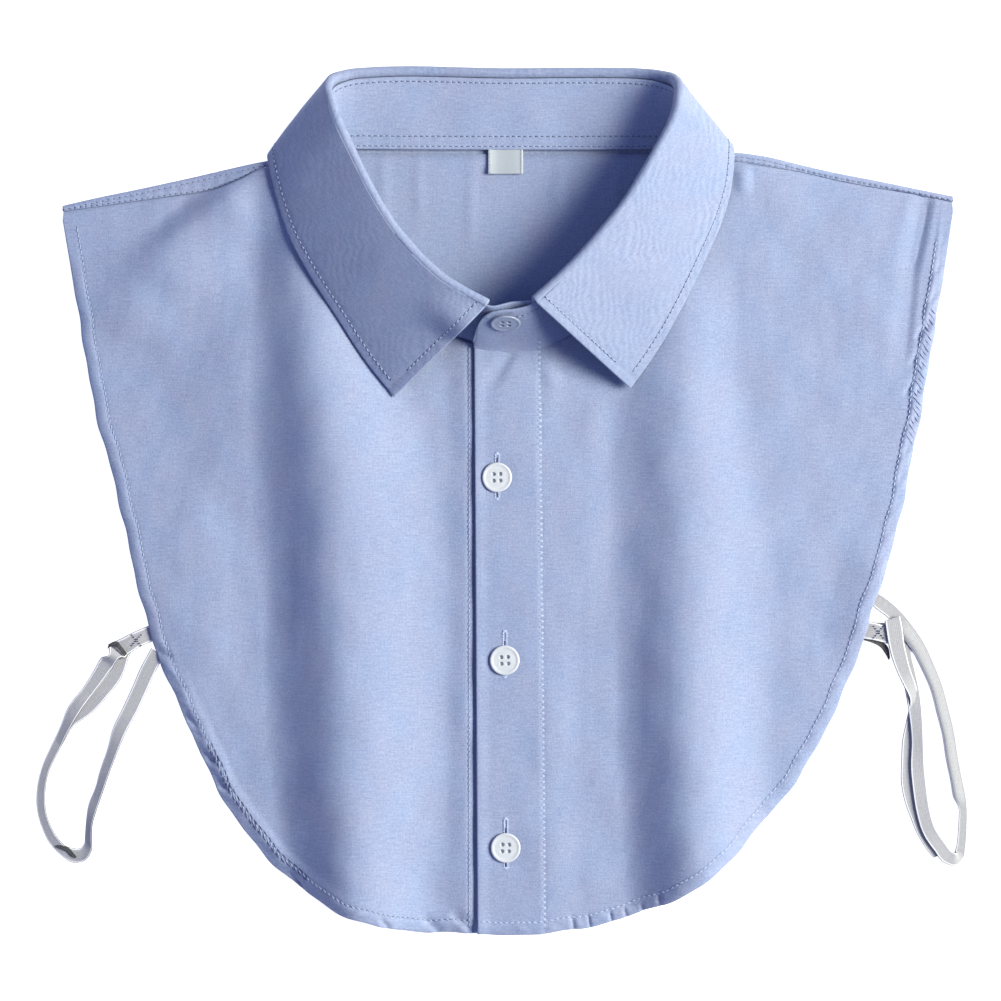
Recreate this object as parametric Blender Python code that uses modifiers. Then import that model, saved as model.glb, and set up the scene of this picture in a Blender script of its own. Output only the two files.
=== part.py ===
"""A detachable shirt collar (a dickey), laid out flat.

Two fronts, a back, a two-piece collar, four buttons, a neck label and two side
elastics.  The back panel lies on the surface with the fronts on top of it, and
the collar stands up from the neckline with its leaf turned down all round.

Frame: +X across the garment, +Y towards the collar, +Z up, and z = 0 is the
surface that it lies on.  Lengths are in millimetres and go into the meshes in
metres.
"""
import math

import bmesh
import bpy
import numpy as np

MM = 0.001
NAME = "detachable_shirt_collar"

# Driving dimensions, in millimetres
CLOTH = 1.0            # wall of a single panel
COLLAR_CLOTH = 1.2     # wall of the stand and of the leaf
GAP = 0.3              # clearance between neighbouring pieces
BUTTON_DIAMETER = 12.5
BUTTON_HEIGHT = 2.4
ELASTIC_WIDTH = 6.3
ELASTIC_THICKNESS = 1.0
LABEL_SIZE = (14.7, 9.3)

LAYER = CLOTH + GAP                # height from one panel to the panel on it
BACK_MID = CLOTH / 2               # height of the back panel's middle surface
FRONT_MID = BACK_MID + LAYER       # the fronts' middle surface, on the back
LEAF_ROOM = 1.7                    # the panels' rise over the leaf at the nape
NAPE_LEAD = 5.0                    # by which the fronts start that rise sooner
NECK_PULL = 1.1                    # the fronts' rise at the foot of the stand
ROLL_RADIUS = 1.6                  # the leaf's turn over the stand
ROLL_HEIGHT = 4.6                  # from the leaf's seam to the top of its turn
LEAF_BULGE = 1.8                   # the leaf's crown between its fold and edge
CROWN_FROM = (5.0, 14.0)           # fold heights between which the crown grows
LEAF_SEAM_GAP = 0.5                # between the stand and the leaf sewn to it
BACK_INSET = 3.5                   # the back's edge, inside the fronts' edge
FRONT_ROWS = 16
BACK_ROWS = 10
ROW_CROWDING = 1.6     # above 1, the rows lie closer towards the collar
LEAF_FALL_ROWS = 6
ROLL_STEPS = 5

# One row for each column line of a front: where the line starts on the shoulder
# seam or the neckline, and where it ends on the side edge or the hem.
LEFT_FRONT = [
    # top_x, top_y, hem_x, hem_y
    (-186.4, 121.2, -187.0, 117.5),
    (-172.0, 123.2, -182.3, 89.5),
    (-154.0, 125.8, -174.3, 42.4),
    (-137.0, 128.2, -161.3, -8.5),
    (-122.0, 130.6, -150.0, -57.0),
    (-112.0, 134.6, -137.0, -88.5),
    (-104.0, 138.8, -121.4, -122.2),
    (-96.0, 140.6, -99.5, -152.5),
    (-89.0, 141.0, -82.0, -165.5),
    (-82.6, 139.8, -71.0, -171.6),
    (-80.9, 131.4, -61.5, -175.5),
    (-74.9, 116.2, -51.0, -178.4),
    (-63.0, 99.2, -41.0, -180.0),
    (-48.0, 83.1, -31.0, -181.1),
    (-30.1, 71.4, -21.5, -181.4),
    (-14.2, 66.2, -12.0, -181.5),
    (13.9, 65.6, 13.9, -181.8),
]
RIGHT_FRONT = [
    (186.4, 125.2, 187.0, 121.0),
    (172.0, 128.2, 181.9, 87.0),
    (154.0, 131.2, 175.1, 46.6),
    (138.0, 134.2, 164.5, -8.0),
    (123.0, 137.6, 152.5, -47.9),
    (112.0, 139.4, 139.5, -84.0),
    (103.0, 140.8, 125.0, -112.0),
    (95.0, 142.0, 103.0, -139.5),
    (87.0, 142.4, 85.0, -157.3),
    (80.6, 140.4, 70.0, -166.2),
    (78.2, 131.2, 60.0, -171.2),
    (73.0, 116.0, 50.0, -174.9),
    (61.0, 99.2, 41.0, -177.4),
    (46.3, 84.0, 32.0, -179.2),
    (29.4, 71.2, 23.0, -180.6),
    (13.0, 65.6, 11.0, -181.9),
    (-14.2, 65.0, -12.8, -182.3),
]

# The shoulder folds, from each tip to the corner of the neck
LEFT_SHOULDER = [
    # x, y
    (-186.8, 123.4),
    (-171.0, 127.0),
    (-154.5, 130.4),
    (-137.0, 134.2),
    (-120.0, 138.0),
    (-105.0, 141.2),
    (-94.0, 142.9),
    (-82.4, 142.2),
]
RIGHT_SHOULDER = [
    (186.8, 127.3),
    (173.0, 130.1),
    (156.0, 133.6),
    (139.0, 136.9),
    (122.6, 140.5),
    (106.0, 144.2),
    (94.0, 145.4),
    (80.4, 142.8),
]

# The largest folds of the fronts, down from the leaf to the hem.  A fold's left and
# right flanks are half cosine waves of unlike reach.
FOLDS = {
    "left": [
        # y, crest_x, height, left_reach, right_reach
        (-190.0, -61.5, 12.0, 33.0, 42.0),
        (-155.0, -63.5, 12.4, 34.0, 44.0),
        (-105.0, -65.5, 12.6, 37.0, 46.0),
        (-42.0, -69.0, 12.2, 38.0, 46.0),
        (0.0, -70.5, 12.0, 40.0, 44.0),
        (42.0, -74.0, 10.6, 37.0, 38.0),
        (63.0, -78.5, 8.2, 30.0, 32.0),
        (84.0, -84.0, 5.4, 22.0, 30.0),
        (105.0, -87.5, 2.6, 21.0, 30.0),
        (122.0, -90.0, 0.6, 19.0, 30.0),
        (128.0, -91.0, 0.0, 18.0, 30.0),
    ],
    "right": [
        (-190.0, 83.0, 11.6, 30.0, 36.0),
        (-155.0, 81.0, 11.4, 29.0, 36.0),
        (-125.0, 78.5, 10.6, 28.0, 36.0),
        (-84.0, 76.2, 9.4, 29.0, 38.0),
        (-42.0, 76.4, 8.4, 32.0, 40.0),
        (0.0, 75.6, 7.4, 33.0, 36.0),
        (42.0, 74.0, 6.0, 32.0, 32.0),
        (63.0, 74.0, 4.6, 28.0, 28.0),
        (84.0, 74.0, 2.8, 24.0, 26.0),
        (105.0, 74.0, 0.8, 20.0, 24.0),
        (120.0, 74.0, 0.0, 18.0, 24.0),
    ],
}

# The collar, station by station from the left front round the nape to the right
# front: the foot of the stand, the leaf's fold and the leaf's free edge.
COLLAR = [
    # base_x, base_y, base_z, fold_x, fold_y, fold_z, edge_x, edge_y, edge_z
    (-9.5, 67.9, 3.6, -7.9, 81.6, 28.4, -47.7, 43.5, 6.4),
    (-29.7, 72.6, 3.4, -26.7, 92.7, 28.0, -59.9, 59.0, 8.8),
    (-47.3, 84.1, 2.9, -41.5, 107.2, 27.0, -70.3, 74.9, 9.6),
    (-64.5, 103.2, 2.7, -54.3, 126.1, 26.4, -84.6, 97.5, 9.4),
    (-75.8, 121.4, 3.0, -63.5, 144.3, 25.8, -92.5, 113.5, 8.8),
    (-79.9, 133.6, 4.4, -70.1, 158.9, 23.8, -97.6, 130.5, 7.8),
    (-80.0, 139.4, 4.6, -72.7, 167.1, 20.6, -99.6, 139.5, 6.2),
    (-78.5, 143.8, 4.6, -74.2, 172.8, 16.2, -100.4, 145.0, 3.4),
    (-75.5, 146.2, 4.4, -72.9, 176.7, 11.6, -97.0, 147.4, 1.4),
    (-70.0, 147.0, 3.9, -68.0, 179.3, 7.6, -89.0, 143.6, 0.7),
    (-60.0, 147.3, 3.4, -58.0, 180.9, 4.7, -72.0, 138.6, 0.6),
    (-45.3, 147.2, 3.2, -45.2, 181.6, 3.1, -50.0, 136.3, 0.6),
    (-3.4, 147.1, 3.2, -3.4, 180.9, 2.6, -3.4, 135.4, 0.6),
    (41.1, 147.1, 3.2, 41.0, 181.0, 3.1, 46.0, 136.3, 0.6),
    (56.0, 147.2, 3.4, 54.5, 180.5, 4.7, 67.0, 138.6, 0.6),
    (66.0, 146.9, 3.9, 63.4, 178.9, 7.6, 83.0, 144.6, 0.7),
    (72.0, 146.0, 4.4, 68.3, 176.5, 11.6, 91.0, 149.0, 1.4),
    (75.6, 143.4, 4.6, 70.0, 172.8, 16.2, 94.2, 148.6, 3.4),
    (77.1, 139.4, 4.6, 69.4, 166.3, 20.6, 94.4, 142.0, 5.6),
    (77.4, 133.6, 4.4, 67.5, 158.9, 23.8, 93.4, 132.3, 6.4),
    (73.9, 121.4, 3.0, 60.4, 145.0, 26.2, 89.6, 117.6, 6.4),
    (65.3, 106.8, 2.7, 50.8, 128.4, 27.4, 81.6, 99.2, 7.0),
    (48.6, 88.0, 2.9, 38.5, 112.0, 28.4, 70.8, 77.4, 7.6),
    (28.9, 72.4, 4.0, 25.4, 97.2, 29.0, 61.5, 61.5, 6.6),
    (11.3, 66.6, 4.9, 10.2, 82.8, 30.4, 51.1, 46.9, 5.8),
]
# The stand runs on past the leaf at each front.  The under end goes behind the
# over end, whose corner is rounded.
UNDER_END = [
    # base_x, base_y, base_z, top_x, top_y, top_z
    (13.5, 67.3, 3.6, 13.0, 80.4, 24.4),
    (2.0, 67.4, 3.6, 2.0, 80.9, 25.0),
]
OVER_END = [
    (3.0, 66.2, 4.9, 3.0, 79.8, 26.4),
    (-4.0, 66.0, 4.9, -4.0, 78.4, 25.3),
    (-8.6, 65.9, 4.9, -8.6, 77.0, 23.6),
    (-11.8, 65.9, 4.9, -11.7, 74.7, 20.0),
    (-13.6, 65.9, 4.9, -13.4, 71.4, 14.4),
    (-14.4, 65.9, 4.9, -14.4, 68.2, 8.8),
]

# Buttons: the three on the placket, and how far up the stand the fourth one is
PLACKET_BUTTONS = [
    # x, y
    (-4.6, 9.9),
    (-1.4, -66.7),
    (-1.0, -145.2),
]
STAND_BUTTON_X = -1.3
STAND_BUTTON_HEIGHT = 0.66
STAND_BUTTON_STEM = 0.5     # the stand is rounded, so its button stands off it
BUTTON_HOLE_RADIUS = 0.9
BUTTON_HOLE_CIRCLE = 1.7

# The side elastics: the tape's middle line and its tilt from lying flat.  Both
# ends go under a front's edge and meet the edge of the back.
LEFT_ELASTIC = [
    # x, y, tilt in degrees
    (-150.2, -55.2, 0.0),
    (-154.0, -57.6, 0.0),
    (-160.6, -60.4, 0.0),
    (-166.0, -65.8, 4.0),
    (-170.4, -73.4, 12.0),
    (-176.0, -82.4, 26.0),
    (-182.4, -92.6, 42.0),
    (-188.4, -103.0, 52.0),
    (-193.4, -114.4, 56.0),
    (-195.6, -125.6, 58.0),
    (-194.9, -135.2, 62.0),
    (-191.0, -142.8, 68.0),
    (-185.2, -147.9, 76.0),
    (-179.6, -148.6, 82.0),
    (-176.2, -144.2, 78.0),
    (-175.4, -137.0, 70.0),
    (-174.0, -128.6, 60.0),
    (-171.2, -119.8, 50.0),
    (-167.4, -110.0, 40.0),
    (-162.8, -98.0, 26.0),
    (-158.2, -86.0, 12.0),
    (-153.6, -75.6, 2.0),
    (-149.4, -68.0, 0.0),
    (-147.2, -64.2, 0.0),
]
RIGHT_ELASTIC = [
    (153.0, -40.4, 0.0),
    (154.6, -41.6, 0.0),
    (160.2, -45.6, 8.0),
    (166.0, -52.0, 26.0),
    (171.4, -60.2, 42.0),
    (176.4, -70.0, 50.0),
    (180.6, -82.0, 54.0),
    (184.2, -94.6, 56.0),
    (187.0, -107.4, 58.0),
    (189.2, -119.8, 60.0),
    (190.2, -131.6, 64.0),
    (189.8, -141.0, 70.0),
    (187.0, -147.2, 78.0),
    (182.6, -147.4, 78.0),
    (178.8, -142.0, 66.0),
    (175.4, -132.8, 52.0),
    (172.6, -120.6, 40.0),
    (171.2, -107.8, 30.0),
    (170.4, -94.6, 22.0),
    (168.6, -82.0, 12.0),
    (165.8, -70.6, 4.0),
    (162.0, -61.2, 0.0),
    (156.4, -56.2, 0.0),
    (150.0, -54.6, 0.0),
    (148.4, -54.4, 0.0),
]

COLOURS = {
    # name: red, green, blue, roughness
    "shirt_cloth": (0.42, 0.50, 0.76, 0.85),
    "collar_cloth": (0.44, 0.52, 0.78, 0.85),
    "button_white": (0.82, 0.84, 0.86, 0.25),
    "elastic_white": (0.72, 0.72, 0.75, 0.75),
    "label_white": (0.74, 0.78, 0.84, 0.7),
}


def clear_scene():
    """Remove the objects that the start file holds."""
    for obj in list(bpy.data.objects):
        bpy.data.objects.remove(obj, do_unlink=True)


def collection_named(name):
    """A new collection in the scene."""
    made = bpy.data.collections.new(name)
    bpy.context.scene.collection.children.link(made)
    return made


def material_named(piece, finish):
    """A plain material for one piece, in the named finish."""
    red, green, blue, roughness = COLOURS[finish]
    made = bpy.data.materials.new(piece + "_" + finish)
    made.use_nodes = True
    shader = made.node_tree.nodes["Principled BSDF"]
    shader.inputs["Base Color"].default_value = (red, green, blue, 1.0)
    shader.inputs["Roughness"].default_value = roughness
    shader.inputs["Metallic"].default_value = 0.0
    return made


def step(value, start, end):
    """0 at start, 1 at end, and a smooth S between them."""
    share = np.clip((value - start) / (end - start), 0.0, 1.0)
    return share * share * (3.0 - 2.0 * share)


def hill(distance, reach):
    """1 at no distance, falling in half a cosine wave to 0 at reach."""
    return 0.5 + 0.5 * np.cos(np.pi * np.clip(np.abs(distance) / reach, 0.0, 1.0))


def run_length(points):
    """Length along a row of points, from 0 at the first one."""
    steps = np.linalg.norm(np.diff(points, axis=0), axis=1)
    return np.concatenate([[0.0], np.cumsum(steps)])


def smooth_through(rows, knots, places):
    """The smooth curve through rows, one for each knot, at the given places.

    Between two knots it is the cubic with the rows' own slopes at both ends.
    """
    rows = np.asarray(rows, float)
    slopes = np.gradient(rows, knots, axis=0)
    low = np.clip(np.searchsorted(knots, places, side="right") - 1, 0, len(knots) - 2)
    width = (knots[low + 1] - knots[low])[:, None]
    t = (places - knots[low])[:, None] / width
    start, end = rows[low], rows[low + 1]
    leave, arrive = slopes[low] * width, slopes[low + 1] * width
    return (
        (2 * t**3 - 3 * t**2 + 1) * start
        + (t**3 - 2 * t**2 + t) * leave
        + (3 * t**2 - 2 * t**3) * end
        + (t**3 - t**2) * arrive
    )


def refine(knots, parts):
    """The knots, with each stretch between two of them cut into equal parts."""
    shares = np.arange(parts) / parts
    inner = knots[:-1, None] + np.diff(knots)[:, None] * shares
    return np.append(inner.ravel(), knots[-1])


def unit(vectors):
    """The vectors, each brought to length 1."""
    return vectors / np.linalg.norm(vectors, axis=-1, keepdims=True)


def nape_rise(x, y, lead=0.0):
    """How far the panels rise where the leaf passes below them at the nape.

    lead starts the rise that much sooner, so that a front clears the back.
    """
    return LEAF_ROOM * step(y, 108.0 - lead, 133.0 - lead) * step(np.abs(x), 134.0 + lead, 104.0 + lead)


def fold_rise(x, y, name):
    """Height of one front's long fold: a crest line with two unlike flanks."""
    table = np.array(FOLDS[name])
    places = np.linspace(table[0, 0], table[-1, 0], 240)
    fine = smooth_through(table, table[:, 0], places)
    crest, height, left, right = (np.interp(y, places, fine[:, k]) for k in range(1, 5))
    across = x - crest
    return np.maximum(height, 0.0) * hill(across, np.where(across < 0.0, left, right))


def back_height(x, y):
    """Middle surface of the back panel."""
    return BACK_MID + nape_rise(x, y)


def front_height(x, y, side):
    """Middle surface of a front; the right one laps over the left one."""
    pull = NECK_PULL * hill(np.hypot(x, y - 66.0), 36.0)
    lap = LAYER * (1.0 - step(x, 16.0, 32.0)) if side == "right" else 0.0
    return FRONT_MID + nape_rise(x, y, NAPE_LEAD) + pull + lap + fold_rise(x, y, side)


def sheet(name, grid, thickness, finish, collection, keep=None):
    """A cloth wall: a grid of points, rows by columns, thickened to both sides.

    keep(row, column) says which faces of the grid stay; all do by default.
    """
    rows, columns = grid.shape[:2]
    bm = bmesh.new()
    bmesh.ops.create_grid(bm, x_segments=columns - 1, y_segments=rows - 1, size=1.0)
    places = {}
    for vert in bm.verts:
        column = round((vert.co.x + 1.0) / 2.0 * (columns - 1))
        row = round((vert.co.y + 1.0) / 2.0 * (rows - 1))
        places[vert] = (row, column)
    if keep is not None:
        dropped = [
            face
            for face in bm.faces
            if not keep(min(places[v][0] for v in face.verts), min(places[v][1] for v in face.verts))
        ]
        bmesh.ops.delete(bm, geom=dropped, context="FACES")
    for vert in bm.verts:
        vert.co = grid[places[vert]] * MM
    bmesh.ops.recalc_face_normals(bm, faces=bm.faces)
    mesh = bpy.data.meshes.new(name)
    bm.to_mesh(mesh)
    bm.free()
    mesh.materials.append(material_named(name, finish))
    obj = bpy.data.objects.new(name, mesh)
    collection.objects.link(obj)
    wall = obj.modifiers.new("wall", "SOLIDIFY")
    wall.thickness = thickness * MM
    wall.offset = 0.0
    wall.use_even_offset = True
    mesh.shade_smooth()
    return obj


def front_grid(table, side):
    """Points of a front, as rows from its top edge down to its hem."""
    table = np.array(table)
    knots = run_length(table[:, :2]) + run_length(table[:, 2:])
    lines = smooth_through(table, knots, refine(knots, 2))
    share = (np.linspace(0.0, 1.0, FRONT_ROWS) ** ROW_CROWDING)[:, None, None]
    plan = (1.0 - share) * lines[None, :, :2] + share * lines[None, :, 2:]
    height = front_height(plan[..., 0], plan[..., 1], side)
    return np.concatenate([plan, height[..., None]], axis=-1)


def shoulder_columns(table, front):
    """Column lines of the back at one shoulder, where it folds over to the seam.

    Each is a point on the shoulder fold and the end of the turned strip, a seam
    gap above the front's own top edge.
    """
    edge = front[0]
    first = edge[edge[:, 0] * np.sign(table[0][0]) > abs(table[-1][0])]
    table = np.array(table)
    order = np.argsort(table[:, 0])
    x = np.append(first[:, 0], table[-1, 0])
    x[0] = table[0, 0]
    by_x = table[order]
    fold_y = smooth_through(by_x, by_x[:, 0], x)[:, 1]
    edge_order = np.argsort(edge[:, 0])
    seam_y = np.interp(x, edge[edge_order, 0], edge[edge_order, 1]) + GAP
    return np.column_stack([x, fold_y, seam_y])


def hem_line(left, right):
    """The back's side and hem edges, inside the fronts' and from tip to tip."""
    outline = np.vstack([left[-1, :-4, :2], right[-1, :-2, :2][::-1]])
    along = run_length(outline)
    room = np.minimum(along, along[-1] - along)
    inward = np.gradient(outline, along, axis=0)[:, ::-1] * (-1.0, 1.0)
    return along, outline + unit(inward) * BACK_INSET * step(room, -12.0, 24.0)[:, None]


def back_grid(left, right):
    """Points of the back, from the hem up, over the shoulder folds to the seams.

    Also gives the columns at which the neckline starts and ends.
    """
    at_left = shoulder_columns(LEFT_SHOULDER, left)
    at_right = shoulder_columns(RIGHT_SHOULDER, right)[::-1]
    neckline = np.array([row[:2] for row in COLLAR[8:17]]) - (0.0, 1.0)
    neck_columns = smooth_through(neckline, run_length(neckline), refine(run_length(neckline), 1))
    top = np.vstack([at_left[:, :2], neck_columns, at_right[:, :2]])
    along, edge = hem_line(left, right)
    shares = run_length(top)
    hem = smooth_through(edge, along, shares / shares[-1] * along[-1])
    turn = LAYER / 2
    under_fold = top - (0.0, turn)
    share = (1.0 - np.linspace(1.0, 0.0, BACK_ROWS) ** ROW_CROWDING)[:, None, None]
    plan = (1.0 - share) * hem + share * under_fold
    sheet_rows = np.concatenate([plan, back_height(plan[..., 0], plan[..., 1])[..., None]], axis=-1)
    seam_y = np.concatenate([at_left[:, 2], top[len(at_left):-len(at_right), 1], at_right[:, 2]])
    rise = back_height(top[:, 0], under_fold[:, 1])
    fold_rows = []
    for angle in np.linspace(0.0, np.pi, ROLL_STEPS)[1:]:
        y = under_fold[:, 1] + turn * np.sin(angle)
        z = rise + turn * (1.0 - np.cos(angle))
        fold_rows.append(np.column_stack([top[:, 0], y, z]))
    fold_rows.append(np.column_stack([top[:, 0], seam_y, rise + LAYER]))
    grid = np.concatenate([sheet_rows, np.array(fold_rows)])
    return grid, len(at_left) - 1, len(at_left) + len(neck_columns)


def collar_lines():
    """The collar's lines, each with a point for every fine station.

    foot and stand_top bound the stand.  The leaf runs from its seam, a gap above
    the stand's top, round its turn's centre to its free edge.  outward points up
    out of the turn and inward to its stand side.  slant widens the gap where the
    stand leans along the seam.
    """
    table = np.array(COLLAR)
    knots = run_length(table[:, :3]) + run_length(table[:, 3:6]) + run_length(table[:, 6:])
    lines = smooth_through(table, knots, refine(knots, 2))
    foot, fold, edge = lines[:, :3], lines[:, 3:6], lines[:, 6:]
    along = unit(np.gradient(fold, axis=0))
    outward = unit(unit(fold - foot) - unit(edge - fold))
    inward = unit(np.cross(along, outward))
    centre = fold - ROLL_RADIUS * outward
    stand_side = centre + ROLL_RADIUS * inward
    up_stand = unit(stand_side - foot)
    seam = stand_side - (ROLL_HEIGHT - ROLL_RADIUS * math.pi / 2) * up_stand
    slant = np.linalg.norm(np.cross(along, up_stand), axis=1, keepdims=True)
    stand_top = seam - LEAF_SEAM_GAP / slant * up_stand
    return {
        "foot": foot, "edge": edge, "centre": centre, "outward": outward,
        "inward": inward, "seam": seam, "stand_top": stand_top,
        "bulge": LEAF_BULGE * step(fold[:, 2:], *CROWN_FROM),
    }


def stand_grid(lines):
    """Points of the stand: from its foot to its top edge, end to end."""
    under, over = np.array(UNDER_END), np.array(OVER_END)
    foot = np.vstack([under[:, :3], lines["foot"], over[:, :3]])
    top = np.vstack([under[:, 3:], lines["stand_top"], over[:, 3:]])
    return foot + np.linspace(0.0, 1.0, 5)[:, None, None] * (top - foot)


def leaf_grid(lines):
    """Points of the leaf: up from its seam, round its turn and down to its edge."""
    rows = [lines["seam"]]
    for angle in np.linspace(0.0, np.pi, ROLL_STEPS + 2):
        side = math.cos(angle) * lines["inward"] + math.sin(angle) * lines["outward"]
        rows.append(lines["centre"] + ROLL_RADIUS * side)
    start, edge = rows[-1], lines["edge"]
    crown = (start + edge) / 2 - lines["bulge"] * lines["inward"]
    for t in np.linspace(0.0, 1.0, LEAF_FALL_ROWS + 1)[1:]:
        rows.append((1 - t) ** 2 * start + 2 * t * (1 - t) * crown + t**2 * edge)
    return np.array(rows)


def button(name, collection, cutters):
    """A sewn button: a turned disc with a raised rim and a dished middle."""
    radius = BUTTON_DIAMETER / 2
    profile = [
        # radius, height, from the top of the dish round the rim to the middle below
        (0.0, BUTTON_HEIGHT - 0.7),
        (radius - 2.2, BUTTON_HEIGHT - 0.7),
        (radius - 1.4, BUTTON_HEIGHT),
        (radius - 0.5, BUTTON_HEIGHT - 0.1),
        (radius, BUTTON_HEIGHT - 0.8),
        (radius - 0.9, 0.3),
        (radius - 2.4, 0.0),
        (0.0, 0.0),
    ]
    bm = bmesh.new()
    verts = [bm.verts.new((r * MM, 0.0, z * MM)) for r, z in profile]
    for low, high in zip(verts, verts[1:]):
        bm.edges.new((low, high))
    mesh = bpy.data.meshes.new(name)
    bm.to_mesh(mesh)
    bm.free()
    mesh.materials.append(material_named(name, "button_white"))
    obj = bpy.data.objects.new(name, mesh)
    collection.objects.link(obj)
    turned = obj.modifiers.new("turned", "SCREW")
    turned.steps = 18
    turned.render_steps = 18
    turned.use_merge_vertices = True
    turned.merge_threshold = 0.00005
    drilled = obj.modifiers.new("drilled", "BOOLEAN")
    drilled.operation = "DIFFERENCE"
    drilled.object = hole_cutter(name + "_holes", cutters)
    drilled.object.parent = obj
    return obj


def hole_cutter(name, cutters):
    """Four small cylinders that cut the sewing holes of a button."""
    bm = bmesh.new()
    for quarter in range(4):
        angle = math.radians(45 + 90 * quarter)
        made = bmesh.ops.create_cone(
            bm, cap_ends=True, segments=6, radius1=BUTTON_HOLE_RADIUS * MM,
            radius2=BUTTON_HOLE_RADIUS * MM, depth=4 * BUTTON_HEIGHT * MM,
        )
        shift = (
            BUTTON_HOLE_CIRCLE * math.cos(angle) * MM,
            BUTTON_HOLE_CIRCLE * math.sin(angle) * MM,
            0.0,
        )
        bmesh.ops.translate(bm, verts=made["verts"], vec=shift)
    mesh = bpy.data.meshes.new(name)
    bm.to_mesh(mesh)
    bm.free()
    obj = bpy.data.objects.new(name, mesh)
    obj.hide_render = True
    obj.display_type = "WIRE"
    cutters.objects.link(obj)
    return obj


def tape(name, table, collection):
    """A side elastic: a flat tape that tilts up onto its edge where it bends."""
    table = np.array(table)
    knots = run_length(table[:, :2])
    line = smooth_through(table, knots, refine(knots, 2))
    along = unit(np.gradient(line[:, :2], axis=0))
    tilt = np.radians(np.clip(line[:, 2], 0.0, 90.0))
    across = np.column_stack([
        -along[:, 1] * np.cos(tilt), along[:, 0] * np.cos(tilt), np.sin(tilt),
    ])
    half = ELASTIC_WIDTH / 2
    height = half * np.sin(tilt) + ELASTIC_THICKNESS / 2 * np.cos(tilt)
    middle = np.column_stack([line[:, :2], height])
    grid = np.array([middle - across * half, middle, middle + across * half])
    return sheet(name, grid, ELASTIC_THICKNESS, "elastic_white", collection)


def label_grid():
    """Points of the neck label, a layer above the back panel just below the stand."""
    width, height = LABEL_SIZE
    x = np.linspace(-8.4, -8.4 + width, 5)
    y = np.linspace(146.2, 146.2 - height, 5)
    x, y = np.meshgrid(x, y)
    return np.stack([x, y, back_height(x, y) + LAYER], axis=-1)


def place_buttons(collection, cutters):
    """Set three buttons on the placket and one on the stand's over end."""
    for number, (x, y) in enumerate(PLACKET_BUTTONS, start=1):
        made = button("button_%d" % number, collection, cutters)
        z = float(front_height(np.array(x), np.array(y), "right")) + CLOTH / 2 + GAP
        made.location = (x * MM, y * MM, z * MM)
    made = button("button_collar", collection, cutters)
    over = np.array(OVER_END)
    foot, top = over[:2, :3].mean(axis=0), over[:2, 3:].mean(axis=0)
    slope = math.atan2(top[2] - foot[2], top[1] - foot[1])
    place = foot + STAND_BUTTON_HEIGHT * (top - foot)
    place[0] = STAND_BUTTON_X
    lift = COLLAR_CLOTH / 2 + GAP + STAND_BUTTON_STEM
    place += (0.0, -math.sin(slope) * lift, math.cos(slope) * lift)
    made.location = place * MM
    made.rotation_euler = (slope, 0.0, 0.0)


def build():
    """Model every piece of the garment."""
    clear_scene()
    garment = collection_named(NAME)
    cutters = collection_named("cutters")
    left = front_grid(LEFT_FRONT, "left")
    right = front_grid(RIGHT_FRONT, "right")
    sheet("front_panel_left", left, CLOTH, "shirt_cloth", garment)
    sheet("front_panel_right", right, CLOTH, "shirt_cloth", garment)
    back, neck_start, neck_end = back_grid(left, right)
    sheet(
        "back_panel", back, CLOTH, "shirt_cloth", garment,
        keep=lambda row, column: row < BACK_ROWS - 1 or not neck_start <= column < neck_end,
    )
    lines = collar_lines()
    sheet("collar_stand", stand_grid(lines), COLLAR_CLOTH, "collar_cloth", garment)
    sheet("collar_leaf", leaf_grid(lines), COLLAR_CLOTH, "collar_cloth", garment)
    sheet("neck_label", label_grid(), CLOTH, "label_white", garment)
    tape("elastic_strap_left", LEFT_ELASTIC, garment)
    tape("elastic_strap_right", RIGHT_ELASTIC, garment)
    place_buttons(garment, cutters)


build()
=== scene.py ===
"""Detachable shirt collar, dressed: fine cloth, stitching, buttons and elastics.

Laid out as an add-on.  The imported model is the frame; every piece below stands for
one of its nodes or is sewn on one.  Lengths in the tables are millimetres in the
model's own frame: +X across, +Y towards the collar, +Z up from the surface.
"""
import math

import bpy
import numpy as np
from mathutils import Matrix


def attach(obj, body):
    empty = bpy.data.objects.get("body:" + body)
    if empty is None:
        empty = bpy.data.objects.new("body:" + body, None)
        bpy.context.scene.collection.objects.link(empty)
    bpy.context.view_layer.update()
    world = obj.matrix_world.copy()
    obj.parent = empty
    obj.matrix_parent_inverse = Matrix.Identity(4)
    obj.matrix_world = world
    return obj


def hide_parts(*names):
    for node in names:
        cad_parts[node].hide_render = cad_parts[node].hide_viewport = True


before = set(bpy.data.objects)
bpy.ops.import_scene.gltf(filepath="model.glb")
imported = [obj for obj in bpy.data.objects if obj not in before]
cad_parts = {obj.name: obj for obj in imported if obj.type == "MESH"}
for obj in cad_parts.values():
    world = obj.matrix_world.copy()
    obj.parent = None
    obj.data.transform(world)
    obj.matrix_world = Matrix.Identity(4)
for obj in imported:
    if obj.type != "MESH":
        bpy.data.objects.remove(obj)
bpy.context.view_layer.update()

bl_info = {
    "name": "Detachable Shirt Collar",
    "version": (1, 0, 0),
    "blender": (4, 5, 0),
    "location": "View3D > Sidebar > Shirt Collar",
    "description": "Makes the dressed pieces of a detachable shirt collar",
    "category": "Add Mesh",
}

MM = 0.001

# ---------------------------------------------------------------- the cut, in mm

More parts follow.
